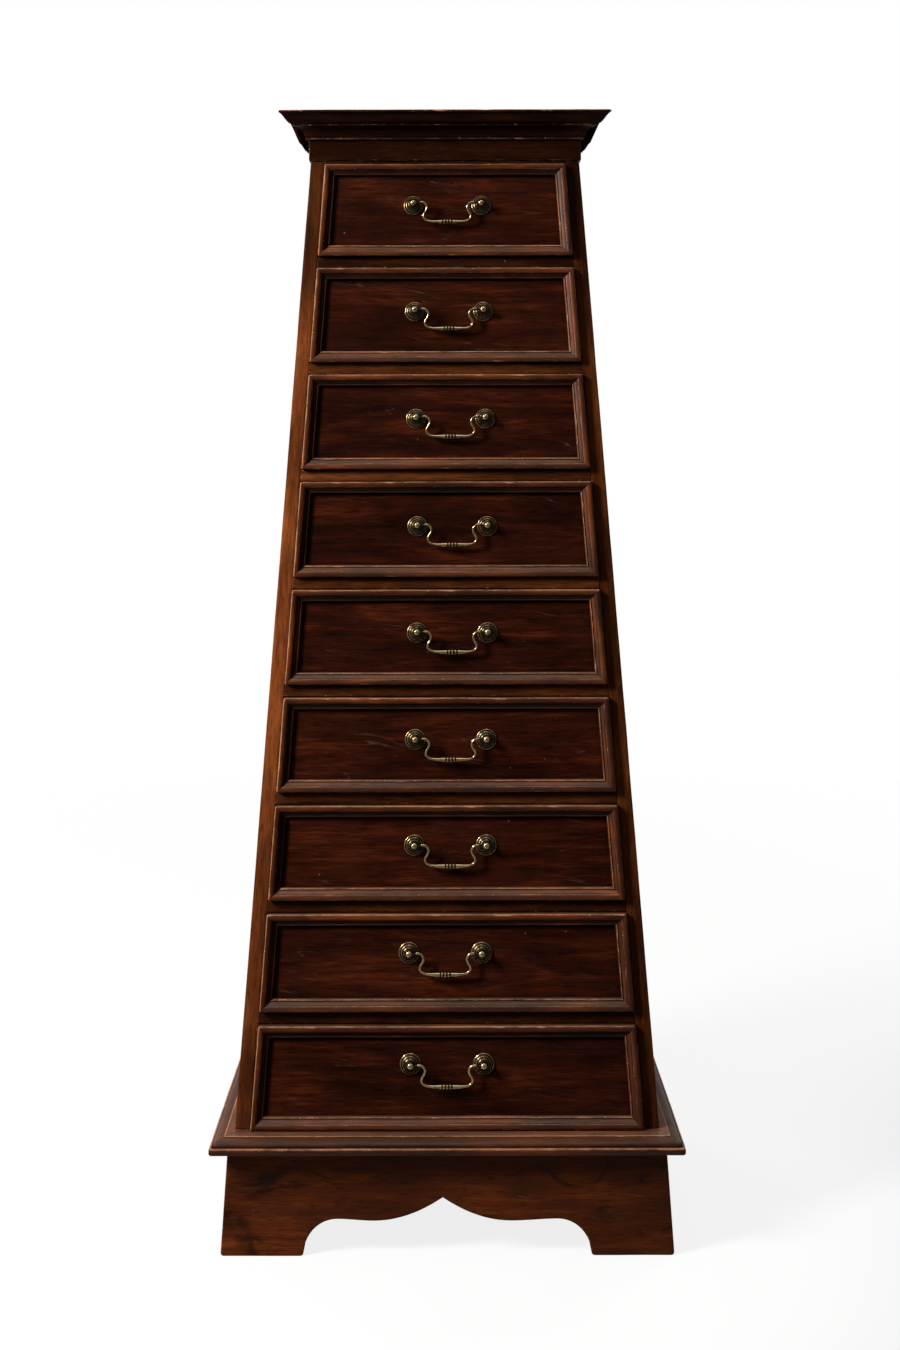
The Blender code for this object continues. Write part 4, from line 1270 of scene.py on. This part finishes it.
def plinth_side(side, word, sizes):
    """Side of the plinth, spreading towards the floor, with a foot at each end."""
    node = f"plinth_{word}"
    low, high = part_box(node)
    top_low, top_high = level_corners(node, top=True)
    floor_half = max(abs(low.x), abs(high.x))
    top_half = max(abs(top_low.x), abs(top_high.x))
    middle = (low.y + high.y) / 2
    half = (high.y - low.y) / 2
    foot = foot_edge_curve(half - sizes.side_foot_width, sizes)
    rear = [Vector((0.0, high.z))]
    rear += long_edge(rear[-1], Vector((half, high.z)), sizes.edge_spacing)
    rear += foot_outline(rear[-1], Vector((half, 0.0)), foot, sizes)[1:]
    rear += long_edge(rear[-1], Vector((0.0, sizes.apron_clear)), sizes.edge_spacing)
    front = [Vector((-point.x, point.y)) for point in reversed(rear[1:-1])]

    def place(point, depth):
        spread = floor_half + (top_half - floor_half) * point.y / high.z
        return (side * (spread - depth), middle + point.x, point.y)

    surface = plate_surface(rear + front, sizes.plinth_thick, sizes, place)
    rings = wavy(surface[0], sizes.waviness, random.Random(node))
    # Painted shade on the plinth's sides.
    add_piece(f"{node}_board", "carcass", "plinth_mahogany", (rings, *surface[1:]), (0, 1, 0),
              PLINTH_SIDE_TONE_AND_SHADE, PLINTH_POLISH, (node,))


class CHEST_OT_base(Operator):
    """Build the base moulding and the plinth with its bracket feet"""

    bl_idname = "chest.base"
    bl_label = "Base"

    def execute(self, context):
        sizes = context.scene.chest_sizes
        base_moulding(sizes)
        plinth_front(sizes)
        for side, word in ((-1, "left"), (1, "right")):
            plinth_side(side, word, sizes)
        return {"FINISHED"}


# Drawers

# Frame moulding from its outer edge to the panel: inset and rise as shares, wear, grime
FRAME_PROFILE = (
    (0.000, 0.010, 0.0, 0.9), (0.000, 0.450, 0.1, 0.6), (0.000, 0.720, 0.5, 0.1), (0.020, 0.830, 1.2, 0.0),
    (0.070, 0.920, 0.9, 0.0), (0.150, 0.980, 0.3, 0.1), (0.250, 1.000, 0.2, 0.2), (0.350, 0.980, 0.2, 0.2),
    (0.430, 0.930, 0.5, 0.1), (0.485, 0.860, 1.1, 0.0), (0.505, 0.790, 0.0, 1.0), (0.560, 0.700, 0.1, 0.3),
    (0.640, 0.570, 0.1, 0.1), (0.720, 0.465, 0.1, 0.1), (0.790, 0.395, 0.0, 0.4), (0.820, 0.380, 0.0, 1.0),
    (0.845, 0.430, 0.5, 0.2), (0.875, 0.475, 1.3, 0.0), (0.915, 0.480, 1.3, 0.0), (0.955, 0.430, 0.9, 0.0),
    (0.990, 0.330, 0.2, 0.4), (1.000, 0.010, 0.0, 1.0),
)

FRAME_RIM = 0.12
FRAME_SLOPE = (0.53, 0.97)

# Word, its two corners, nicks, polish, wear and painted highlight on its rim, dirt and painted shade on its
# inner slope and bead. The top and left lengths face away from the light and get painted shade there; the
# left rim faces the light and gets a painted highlight as worn timber.
FRAME_LENGTHS = (
    ("bottom", 0, 1, 10, 1.1, 0.0, 0.0),
    ("right", 1, 2, 5, 0.8, 0.0, 0.0),
    ("top", 3, 2, 8, 0.5, 0.1, 0.60),
    ("left", 0, 3, 5, 0.2, 0.4, 0.65),
)


def frame_corners(number, inset, rise):
    """Bottom left, bottom right, top right and top left points of a drawer's frame, inside its outline."""
    bottom, top = front_span(number)
    slant = math.hypot(1, SIDE_SLOPE)
    corners = []
    for side, z in ((-1, bottom + inset), (1, bottom + inset), (1, top - inset), (-1, top - inset)):
        half = half_width(z) - front_margin() - inset * slant
        corners.append(Vector((side * half, face_y(z) - rise, z)))
    return corners


def drawer_frame(number, sizes):
    """Four mitred lengths of raised frame moulding on a drawer front."""
    rows = []
    for inset, rise, _, _ in FRAME_PROFILE:
        rows.append(frame_corners(number, sizes.frame_width * inset, sizes.frame_rise * rise))
    for word, first, second, nicks, polish, rub_and_highlight, dirt_and_shade in FRAME_LENGTHS:
        wear_and_highlight = []
        grime_and_shade = []
        for inset, _, worn, grimy in FRAME_PROFILE:
            # Painted shade on the inner slope and bead of the top and left lengths, and a painted highlight
            # as worn timber on the left rim.
            shaded = dirt_and_shade if FRAME_SLOPE[0] < inset < FRAME_SLOPE[1] else 0.0
            wear_and_highlight.append((worn + (rub_and_highlight if inset < FRAME_RIM else 0.0)) * (1 - shaded))
            grime_and_shade.append(grimy + shaded)
        ends = [[row[first] for row in rows], [row[second] for row in rows]]
        add_moulding(f"drawer_{number}_frame_{word}", f"drawer_{number}", "drawer_mahogany", ends,
                     (wear_and_highlight, grime_and_shade), sizes, FRAME_TONE, polish, nicks)


# Dirt and painted shadow on a panel beside each length of its frame: painted shadow beside the left and top
# lengths, whose shadow falls on the panel, and a little dirt beside the right and bottom
PANEL_DIRT_AND_SHADE = {"left": 3.0, "right": 0.8, "bottom": 0.4, "top": 3.0}


def panel_dirt_and_shade(rings, number, sizes):
    """Dirt and painted shadow on a drawer's front board, which gather along the frame and fade out on the
    panel.
    """
    bottom, top = front_span(number)
    x, _, z = np.moveaxis(rings, -1, 0)
    half = half_width(z) - front_margin()
    distances = {"left": x + half, "right": half - x, "bottom": z - bottom, "top": top - z}
    reach = sizes.frame_width + sizes.dirt_and_shade_reach
    dirt_and_shade = [PANEL_DIRT_AND_SHADE[word] * np.clip(1 - distance / reach, 0, 1) for word, distance in distances.items()]
    return np.max(dirt_and_shade, axis=0)


def drawer_panel(number, sizes):
    """Front board of a drawer, which shows as a panel inside the frame."""
    bottom, top = front_span(number)
    name = f"drawer_{number}_panel"
    ends = []
    for side in (-1, 1):
        corners = []
        for z, depth in ((bottom, 0), (bottom, sizes.front_thick), (top, sizes.front_thick), (top, 0)):
            corners.append(Vector((side * (half_width(z) - front_margin()), face_y(z) + depth, z)))
        ends.append(corners)
    rings, wear_and_highlight, _ = board_rings(*ends, sizes, sizes.frame_width + sizes.dirt_and_shade_reach)
    rings = wavy(rings, sizes.waviness, random.Random(name + " shape"))
    # Dirt and painted shadow along the frame.
    surface = (rings, 0 * wear_and_highlight, panel_dirt_and_shade(rings, number, sizes))
    add_piece(name, f"drawer_{number}", "drawer_mahogany", surface, (1, 0, 0), polish=PANEL_POLISH,
              replaces=(f"drawer_{number}_front",))


def drawer_tray(number, sizes):
    """Sides, back and bottom of a drawer, as separate boards."""
    body = f"drawer_{number}"
    low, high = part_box(f"{body}_tray")
    wall = sizes.tray_wall
    gap = sizes.joint

    def front_y(z):
        return low.y + FRONT_SLOPE * (z - low.z)

    for side, word in ((-1, "left"), (1, "right")):
        outer = side * high.x
        inner = side * (high.x - wall)
        corners = ((outer, low.z), (inner, low.z), (inner, high.z), (outer, high.z))
        ends = [[(x, front_y(z), z) for x, z in corners], [(x, high.y, z) for x, z in corners]]
        replaces = (f"{body}_tray",) if side < 0 else ()
        add_board(f"{body}_side_{word}", body, "lining_wood", ends, sizes, replaces=replaces)
    inside = high.x - wall - gap
    ends = slab(Vector((-inside, high.y - wall, low.z)), Vector((inside, high.y, high.z)))
    add_board(f"{body}_back", body, "lining_wood", ends, sizes)
    floor = low.z + sizes.tray_floor
    ends = []
    for x in (-inside, inside):
        ends.append([(x, front_y(low.z), low.z), (x, high.y - wall - gap, low.z),
                     (x, high.y - wall - gap, floor), (x, front_y(floor), floor)])
    add_board(f"{body}_bottom", body, "lining_wood", ends, sizes)


class CHEST_OT_drawers(Operator):
    """Build the drawers: panels, raised frames and trays"""

    bl_idname = "chest.drawers"
    bl_label = "Drawers"

    def execute(self, context):
        sizes = context.scene.chest_sizes
        for number in DRAWERS:
            drawer_panel(number, sizes)
            drawer_frame(number, sizes)
            drawer_tray(number, sizes)
        return {"FINISHED"}


# Handles

POST_SIDES = 40
ROD_SIDES = 14

# Stepped rosette from its back to the neck: radius as a share, height in metres, wear, grime
ROSETTE_PROFILE = (
    (0.300, 0.0002, 0.0, 1.0), (0.970, 0.0002, 0.0, 0.6), (1.000, 0.0006, 0.0, 0.4),
    (1.000, 0.0014, 0.2, 0.3), (0.970, 0.0019, 0.3, 0.2), (0.920, 0.0022, 0.1, 0.3),
    (0.890, 0.0021, 0.0, 1.2), (0.840, 0.0027, 0.0, 0.7), (0.780, 0.0037, 0.0, 0.5),
    (0.745, 0.0043, 0.3, 0.3), (0.705, 0.0046, 0.2, 0.4), (0.675, 0.0046, 0.0, 1.3),
    (0.620, 0.0053, 0.0, 0.8), (0.560, 0.0062, 0.0, 0.7), (0.520, 0.0068, 0.2, 0.5),
    # The innermost rings near the neck are dark with patina, partly as painted shade of the ball.
    (0.480, 0.0071, 0.1, 0.6), (0.420, 0.0073, 0.0, 1.3), (0.320, 0.0079, 0.0, 1.3),
    (0.255, 0.0085, 0.0, 1.3),
)
NECK_RISE = 0.0006
# Patina on the neck and the ball's lower half, partly painted shade of the ball.
NECK_PATINA_AND_SHADE = 1.3
BALL_STEPS = 12
BALL_END = 88
BALL_WEAR = (0.2, 1.0)
BALL_PATINA_AND_SHADE = 0.9

# Swan neck: distance in from the post's axis in metres, then the drop as a share of the bail's drop
SWAN_NECK = (
    (0.0108, -0.030), (0.0150, -0.010), (0.0185, 0.100), (0.0197, 0.250), (0.0181, 0.420), (0.0155, 0.580),
    (0.0149, 0.720), (0.0168, 0.850), (0.0212, 0.940), (0.0275, 0.978), (0.0360, 0.993),
)
NECK_STEPS = 6
PIN_START = 0.0008
PIN_CLEAR = 0.0012
PIN_LENGTH = 0.0100
PIN_SHARE = 0.75
PIN_DIRT = 1.0
BAR_SPACING = 0.0004
BAR_SHARE = 0.9
GRIP_TAPER = 1.3

# Beads on a bail's bar: distance from its middle, rise
BEADS = ((-0.0044, 0.00025), (0.0, 0.00030), (0.0044, 0.00025))
BEAD_WIDTH = 0.0011
BEAD_GROOVES = (0.0022, 0.0064)
BEAD_DIRT = 0.8

# The upper left side of the brass is brighter and the lower right darker: partly rubbing by hands and
# cloths, partly painted highlight and painted shade for light from the upper left. The rosettes get less of
# it.
LIT_AND_HANDLED_SIDE = Vector((-0.45, -0.55, 0.70))
LIT_AND_HANDLED_ANGLE = math.radians(125)
ROSETTE_LIGHT_AND_TOUCH = 0.3

# Wear and grime of the brass where hands don't reach, and what the lit and handled side adds to them:
# rubbing and painted highlight on that side, painted shade on the far side
POST_WEAR_AND_HIGHLIGHT = (0.10, 0.30)
POST_GRIME_AND_SHADE = (-0.05, -0.45)
POST_WEAR_LIMIT = 1.0
POST_GRIME_LIMIT = 1.4
ROD_WEAR_AND_HIGHLIGHT = (0.15, 0.60)
ROD_GRIME_AND_SHADE = (0.45, -0.75)


def turned_rings(profile, sides):
    """Rings of a body turned about +Z from (radius, height) points."""
    rings = []
    for radius, height in profile:
        ring = []
        for i in range(sides):
            angle = 2 * math.pi * i / sides
            ring.append((radius * math.cos(angle), radius * math.sin(angle), height))
        rings.append(ring)
    return np.array(rings)


def post_rows(reach, sizes):
    """Radius, height, wear and grime of a turned post's rings: rosette, neck and ball."""
    rows = [(sizes.rosette_radius * share, *others) for share, *others in ROSETTE_PROFILE]
    rows.append((sizes.neck_radius, rows[-1][1] + NECK_RISE, 0.0, NECK_PATINA_AND_SHADE))
    ball_start = -math.degrees(math.acos(sizes.neck_radius / sizes.ball_radius))
    for i in range(BALL_STEPS + 1):
        share = i / BALL_STEPS
        latitude = math.radians(ball_start + (BALL_END - ball_start) * share)
        radius = sizes.ball_radius * math.cos(latitude)
        height = reach + sizes.ball_radius * math.sin(latitude)
        wear_and_highlight = BALL_WEAR[0] + (BALL_WEAR[1] - BALL_WEAR[0]) * share
        rows.append((radius, height, wear_and_highlight, BALL_PATINA_AND_SHADE * max(0.0, 1 - 2 * share)))
    return rows


def post_surface(reach, sizes):
    """Rings, wear and grime of a turned post, brighter on its upper left side as rubbing and painted
    highlight, and darker on its lower right as painted shade.
    """
    rows = post_rows(reach, sizes)
    rings = turned_rings([row[:2] for row in rows], POST_SIDES)
    lit_and_handled = np.cos(np.arange(POST_SIDES) * 2 * math.pi / POST_SIDES - LIT_AND_HANDLED_ANGLE)
    wear_and_highlight = []
    grime_and_shade = []
    for i, (_, _, worn, grimy) in enumerate(rows):
        # Rubbing and painted highlight on the upper left, painted shade on the lower right.
        light_and_touch = lit_and_handled * (ROSETTE_LIGHT_AND_TOUCH if i < len(ROSETTE_PROFILE) else 1.0)
        wear_and_highlight.append(np.clip(worn + POST_WEAR_AND_HIGHLIGHT[0] + POST_WEAR_AND_HIGHLIGHT[1] * light_and_touch, 0, POST_WEAR_LIMIT))
        grime_and_shade.append(np.clip(grimy + POST_GRIME_AND_SHADE[0] + POST_GRIME_AND_SHADE[1] * light_and_touch, 0, POST_GRIME_LIMIT))
    return rings, np.array(wear_and_highlight), np.array(grime_and_shade)


def moved_rings(rings, matrix):
    """Rings put in place by a matrix."""
    flat = np.c_[rings.reshape(-1, 3), np.ones(rings.shape[0] * rings.shape[1])]
    return (flat @ np.array(matrix).T)[:, :3].reshape(rings.shape)


def smooth_path(points, steps):
    """Catmull-Rom curve through points."""
    padded = [points[0] * 2 - points[1], *points, points[-1] * 2 - points[-2]]
    path = []
    for before, start, end, after in zip(padded, padded[1:], padded[2:], padded[3:]):
        for i in range(steps):
            t = i / steps
            slope = end - before
            bend = 2 * before - 5 * start + 4 * end - after
            twist = 3 * start - before - 3 * end + after
            path.append((2 * start + slope * t + bend * t ** 2 + twist * t ** 3) / 2)
    return path + [points[-1]]


def bail_path(spacing, sizes):
    """Centre line of a bail from its left pin to the middle of its bar, then on to its right pin."""
    half = spacing / 2
    left = [Vector((PIN_START - half, 0.0)), Vector((sizes.ball_radius + PIN_CLEAR - half, 0.0))]
    left += [Vector((inward - half, -sizes.bail_drop * share)) for inward, share in SWAN_NECK]
    left = smooth_path(left, NECK_STEPS)
    middle = Vector((0.0, -sizes.bail_drop))
    left += long_edge(left[-1], middle, BAR_SPACING)[:-1]
    return left + [middle] + [Vector((-point.x, point.y)) for point in reversed(left)]


def in_pin(point, spacing):
    """Whether a point of a bail's path lies in one of its pins."""
    return abs(point.x) > spacing / 2 - PIN_LENGTH


def in_bar(point, sizes):
    """Whether a point of a bail's path lies in its bar."""
    return point.y < -BAR_SHARE * sizes.bail_drop


def bail_radius(point, spacing, sizes):
    """Radius of a bail's rod: its pins are thin and its bar swells, with three small beads in its middle."""
    if in_pin(point, spacing):
        return PIN_SHARE * sizes.rod_radius
    if not in_bar(point, sizes):
        return sizes.rod_radius
    share = min(abs(point.x) / sizes.grip_half, 1.0)
    radius = sizes.rod_radius + (sizes.grip_radius - sizes.rod_radius) * (1 - share ** GRIP_TAPER)
    for place, rise in BEADS:
        radius += rise * math.exp(-((point.x - place) / BEAD_WIDTH) ** 2)
    return radius


def rod_dirt(point, spacing, sizes):
    """Dirt on a bail: between the beads of its bar, and on the pins in its posts."""
    if in_pin(point, spacing):
        return PIN_DIRT
    from_groove = min(abs(abs(point.x) - groove) for groove in BEAD_GROOVES)
    return BEAD_DIRT if in_bar(point, sizes) and from_groove < BEAD_WIDTH else 0.0


def bail_surface(axis, spacing, sizes):
    """Rings, wear and grime of a bail, hanging from its axis; brighter on its upper outer side as rubbing
    and painted highlight, darker underneath as painted shade.
    """
    path = bail_path(spacing, sizes)
    rings = []
    wear_and_highlight = []
    grime_and_shade = []
    for i, point in enumerate(path):
        along = (path[min(i + 1, len(path) - 1)] - path[max(i - 1, 0)]).normalized()
        across = Vector((-along.y, 0, along.x))
        radius = bail_radius(point, spacing, sizes)
        ring = []
        lit_and_handled = []
        for k in range(ROD_SIDES):
            angle = 2 * math.pi * k / ROD_SIDES
            spoke = math.cos(angle) * across + Vector((0, math.sin(angle), 0))
            ring.append(axis + Vector((point.x, 0, point.y)) + radius * spoke)
            lit_and_handled.append(spoke.dot(LIT_AND_HANDLED_SIDE))
        rings.append(ring)
        dirty = rod_dirt(point, spacing, sizes)
        # Rubbing and painted highlight on the upper side, painted shade underneath.
        wear_and_highlight.append([max(0.0, ROD_WEAR_AND_HIGHLIGHT[0] + ROD_WEAR_AND_HIGHLIGHT[1] * light_and_touch - dirty) for light_and_touch in lit_and_handled])
        grime_and_shade.append([max(0.0, ROD_GRIME_AND_SHADE[0] + ROD_GRIME_AND_SHADE[1] * light_and_touch) + dirty for light_and_touch in lit_and_handled])
    return np.array(rings), np.array(wear_and_highlight), np.array(grime_and_shade)


def handle(number, sizes):
    """Two turned posts and the bail between them."""
    body = f"drawer_{number}"
    axis = BAIL_AXES[f"bail_{number}"]
    reach = (face_y(axis.z) - axis.y) * math.cos(LEAN)
    centres = []
    for word in ("left", "right"):
        low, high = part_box(f"{body}_post_{word}")
        centres.append((low.x + high.x) / 2)
    turn = Matrix.Rotation(math.pi / 2 - LEAN, 4, "X")
    for word, x in zip(("left", "right"), centres):
        foot = Vector((x, axis.y, axis.z)) - reach * OUTWARD
        rings, wear_and_highlight, grime_and_shade = post_surface(reach, sizes)
        rings = moved_rings(rings, Matrix.Translation(foot) @ turn)
        add_piece(f"{body}_turned_post_{word}", body, "antique_brass", (rings, wear_and_highlight, grime_and_shade), (1, 0, 0),
                  replaces=(f"{body}_post_{word}",))
    surface = bail_surface(axis, centres[1] - centres[0], sizes)
    add_piece(f"{body}_swan_bail", f"bail_{number}", "antique_brass", surface, (1, 0, 0),
              replaces=(f"{body}_bail",))


class CHEST_OT_handles(Operator):
    """Build the brass handles: turned posts and swan-neck bails"""

    bl_idname = "chest.handles"
    bl_label = "Handles"

    def execute(self, context):
        sizes = context.scene.chest_sizes
        for number in DRAWERS:
            handle(number, sizes)
        return {"FINISHED"}


# Stage

WHITE = (1.0, 1.0, 1.0, 1.0)
PAPER_DETAIL = 2.0
PAPER_PALE = 0.05
PAPER_DULL = (0.2, 0.9)
FLOOR_ROUGH = 0.9
KEY_DIRECTION = Vector((-0.75, -0.42, 0.51))
KEY_DISTANCE = 3.1
KEY_SIZE = (0.7, 1.1)
TOP_PLACE = Vector((0.0, -0.75, 2.9))
TOP_SIZE = (1.2, 1.7)
RIM_PLACES = {"rim_left": Vector((-2.6, 2.4, 2.0)), "rim_right": Vector((2.6, 2.4, 2.0))}
RIM_SIZE = (1.4, 1.8)
SHADOW_SHARE = 0.16
FLOOR_REACH = (0.45, 1.5)
SHADOW_REACH = (1.0, 3.2)
STUDIO_BRIGHT = Vector((-0.50, 0.78, 0.38))
STUDIO_DIM = 0.36
STUDIO_EDGES = (-0.70, 0.15)
FLOOR_SIDES = 96


def rays_that_see(finish):
    """1 for light that the camera sees directly, in a mirror or through glass."""
    path = finish.tree.nodes.new("ShaderNodeLightPath")
    seen = finish.maths("MAXIMUM", path.outputs["Is Camera Ray"], path.outputs["Is Glossy Ray"])
    return finish.maths("MAXIMUM", seen, path.outputs["Is Transmission Ray"])


def backdrop_level(finish, direction):
    """Brightness of the backdrop in a direction: white behind the chest, grey in front of it."""
    inputs = {0: direction, 1: STUDIO_BRIGHT}
    facing = finish.add("ShaderNodeVectorMath", inputs, "Value", operation="DOT_PRODUCT")
    bright = finish.band(facing, *STUDIO_EDGES)
    return finish.scaled(bright, 1 - STUDIO_DIM, STUDIO_DIM)


def floor_glow(finish, place):
    """What the camera sees of the floor: white near the chest, and further out as bright as the backdrop."""
    distance = finish.add("ShaderNodeVectorMath", {0: place}, "Value", operation="LENGTH")
    outward = finish.add("ShaderNodeVectorMath", {0: place}, operation="NORMALIZE")
    dimmed = finish.without(backdrop_level(finish, outward))
    level = finish.without(finish.product(finish.band(distance, *FLOOR_REACH), dimmed))
    glow = finish.add("ShaderNodeEmission", {"Color": WHITE, "Strength": level})
    far = finish.band(distance, *SHADOW_REACH)
    share = finish.scaled(far, SHADOW_SHARE, 1 - SHADOW_SHARE)
    return finish.add("ShaderNodeMixShader", {0: share, 1: finish.shader.outputs[0], 2: glow})


def floor_material(colours):
    """Pale floor: near white with a soft shadow to the camera and in mirrors, and dull to other light."""
    finish = Finish("stage_floor")
    place = finish.add("ShaderNodeTexCoord", {}, "Object")
    paper = finish.cloud(place, PAPER_DETAIL)
    finish.shade("Base Color", finish.blend(finish.scaled(paper, PAPER_PALE), opaque(colours.floor), WHITE))
    finish.shade("Roughness", FLOOR_ROUGH)
    finish.shade("Specular IOR Level", 0.0)
    dull = finish.brighten(tuple(colours.floor_bounce), finish.scaled(paper, *PAPER_DULL))
    dull_floor = finish.add("ShaderNodeBsdfDiffuse", {"Color": dull})
    inputs = {0: rays_that_see(finish), 1: dull_floor, 2: floor_glow(finish, place)}
    shown = finish.add("ShaderNodeMixShader", inputs)
    finish.feed(finish.tree.nodes["Material Output"].inputs["Surface"], shown)
    return finish.material


def floor(settings, colours):
    """Wide round floor."""
    points = turned_rings([(settings.floor_radius, 0.0)], FLOOR_SIDES)[0]
    mesh = bpy.data.meshes.new("studio_floor")
    mesh.from_pydata(points.tolist(), [], [tuple(range(FLOOR_SIDES))])
    mesh.materials.append(floor_material(colours))
    obj = bpy.data.objects.new("studio_floor", mesh)
    bpy.context.scene.collection.objects.link(obj)


def lamp(name, place, target, size, power):
    """Rectangular soft lamp that faces a point."""
    data = bpy.data.lights.new(name, "AREA")
    data.shape = "RECTANGLE"
    data.size, data.size_y = size
    data.energy = power
    obj = bpy.data.objects.new(name, data)
    obj.location = place
    obj.rotation_euler = (target - place).to_track_quat("-Z", "Y").to_euler()
    bpy.context.scene.collection.objects.link(obj)


class Studio(Finish):
    """Adds shader nodes to the world."""

    def __init__(self, name):
        self.world = bpy.data.worlds.new(name)
        self.world.use_nodes = True
        self.tree = self.world.node_tree


def studio(settings):
    """Weak light from all around. The camera and mirrors see white behind the chest, and grey in front."""
    finish = Studio("studio")
    direction = finish.add("ShaderNodeTexCoord", {}, "Generated")
    level = backdrop_level(finish, direction)
    shown = finish.add("ShaderNodeBackground", {"Color": WHITE, "Strength": level})
    around = finish.add("ShaderNodeBackground", {"Color": WHITE, "Strength": settings.ambient})
    mixed = finish.add("ShaderNodeMixShader", {0: rays_that_see(finish), 1: around, 2: shown})
    finish.feed(finish.tree.nodes["World Output"].inputs["Surface"], mixed)
    bpy.context.scene.world = finish.world


def camera(settings):
    """Level camera in front of the chest, shifted so that the chest stands as in the photograph."""
    data = bpy.data.cameras.new("camera")
    data.lens = settings.lens
    data.shift_x = settings.shift_x
    data.shift_y = settings.shift_y
    obj = bpy.data.objects.new("camera", data)
    obj.location = (0.0, CAD_BOX[0][1] - settings.distance, settings.height)
    obj.rotation_euler = (math.pi / 2, settings.roll, 0.0)
    bpy.context.scene.collection.objects.link(obj)
    bpy.context.scene.camera = obj


class CHEST_OT_stage(Operator):
    """Build the pale floor, the lamps and the camera"""

    bl_idname = "chest.stage"
    bl_label = "Stage"

    def execute(self, context):
        settings = context.scene.chest_stage
        floor(settings, context.scene.chest_colours)
        middle = Vector((0, 0, CAD_BOX[1][2] / 2))
        key_place = middle + KEY_DIRECTION.normalized() * KEY_DISTANCE
        lamp("key", key_place, middle, KEY_SIZE, settings.key_power)
        lamp("top", TOP_PLACE, Vector((0.0, TOP_PLACE.y, 0.0)), TOP_SIZE, settings.top_power)
        for name, place in RIM_PLACES.items():
            lamp(name, place, middle, RIM_SIZE, settings.rim_power)
        studio(settings)
        camera(settings)
        context.scene.view_settings.view_transform = "Standard"
        return {"FINISHED"}


# Add-on

OPERATORS = (CHEST_OT_case, CHEST_OT_lining, CHEST_OT_crown, CHEST_OT_base, CHEST_OT_drawers,
             CHEST_OT_handles, CHEST_OT_stage)


class CHEST_PT_panel(Panel):
    """Lists the groups of pieces and their settings"""

    bl_label = "Pyramid Chest"
    bl_idname = "CHEST_PT_panel"
    bl_space_type = "VIEW_3D"
    bl_region_type = "UI"
    bl_category = "Chest"

    def draw(self, context):
        layout = self.layout
        for operator in OPERATORS:
            layout.operator(operator.bl_idname)
        for settings in (context.scene.chest_sizes, context.scene.chest_colours, context.scene.chest_stage):
            box = layout.box()
            for name in settings.__annotations__:
                box.prop(settings, name)


CLASSES = (ChestSizes, ChestColours, StageSettings, *OPERATORS, CHEST_PT_panel)


def register():
    """Register the classes and hang the settings on the scene."""
    for cls in CLASSES:
        bpy.utils.register_class(cls)
    bpy.types.Scene.chest_sizes = PointerProperty(type=ChestSizes)
    bpy.types.Scene.chest_colours = PointerProperty(type=ChestColours)
    bpy.types.Scene.chest_stage = PointerProperty(type=StageSettings)


def unregister():
    """Take the settings and the classes away again."""
    del bpy.types.Scene.chest_stage
    del bpy.types.Scene.chest_colours
    del bpy.types.Scene.chest_sizes
    for cls in reversed(CLASSES):
        bpy.utils.unregister_class(cls)


def main():
    """Build the whole chest."""
    register()
    bpy.ops.chest.case()
    bpy.ops.chest.lining()
    bpy.ops.chest.crown()
    bpy.ops.chest.base()
    bpy.ops.chest.drawers()
    bpy.ops.chest.handles()
    bpy.ops.chest.stage()


if __name__ == "__main__":
    main()
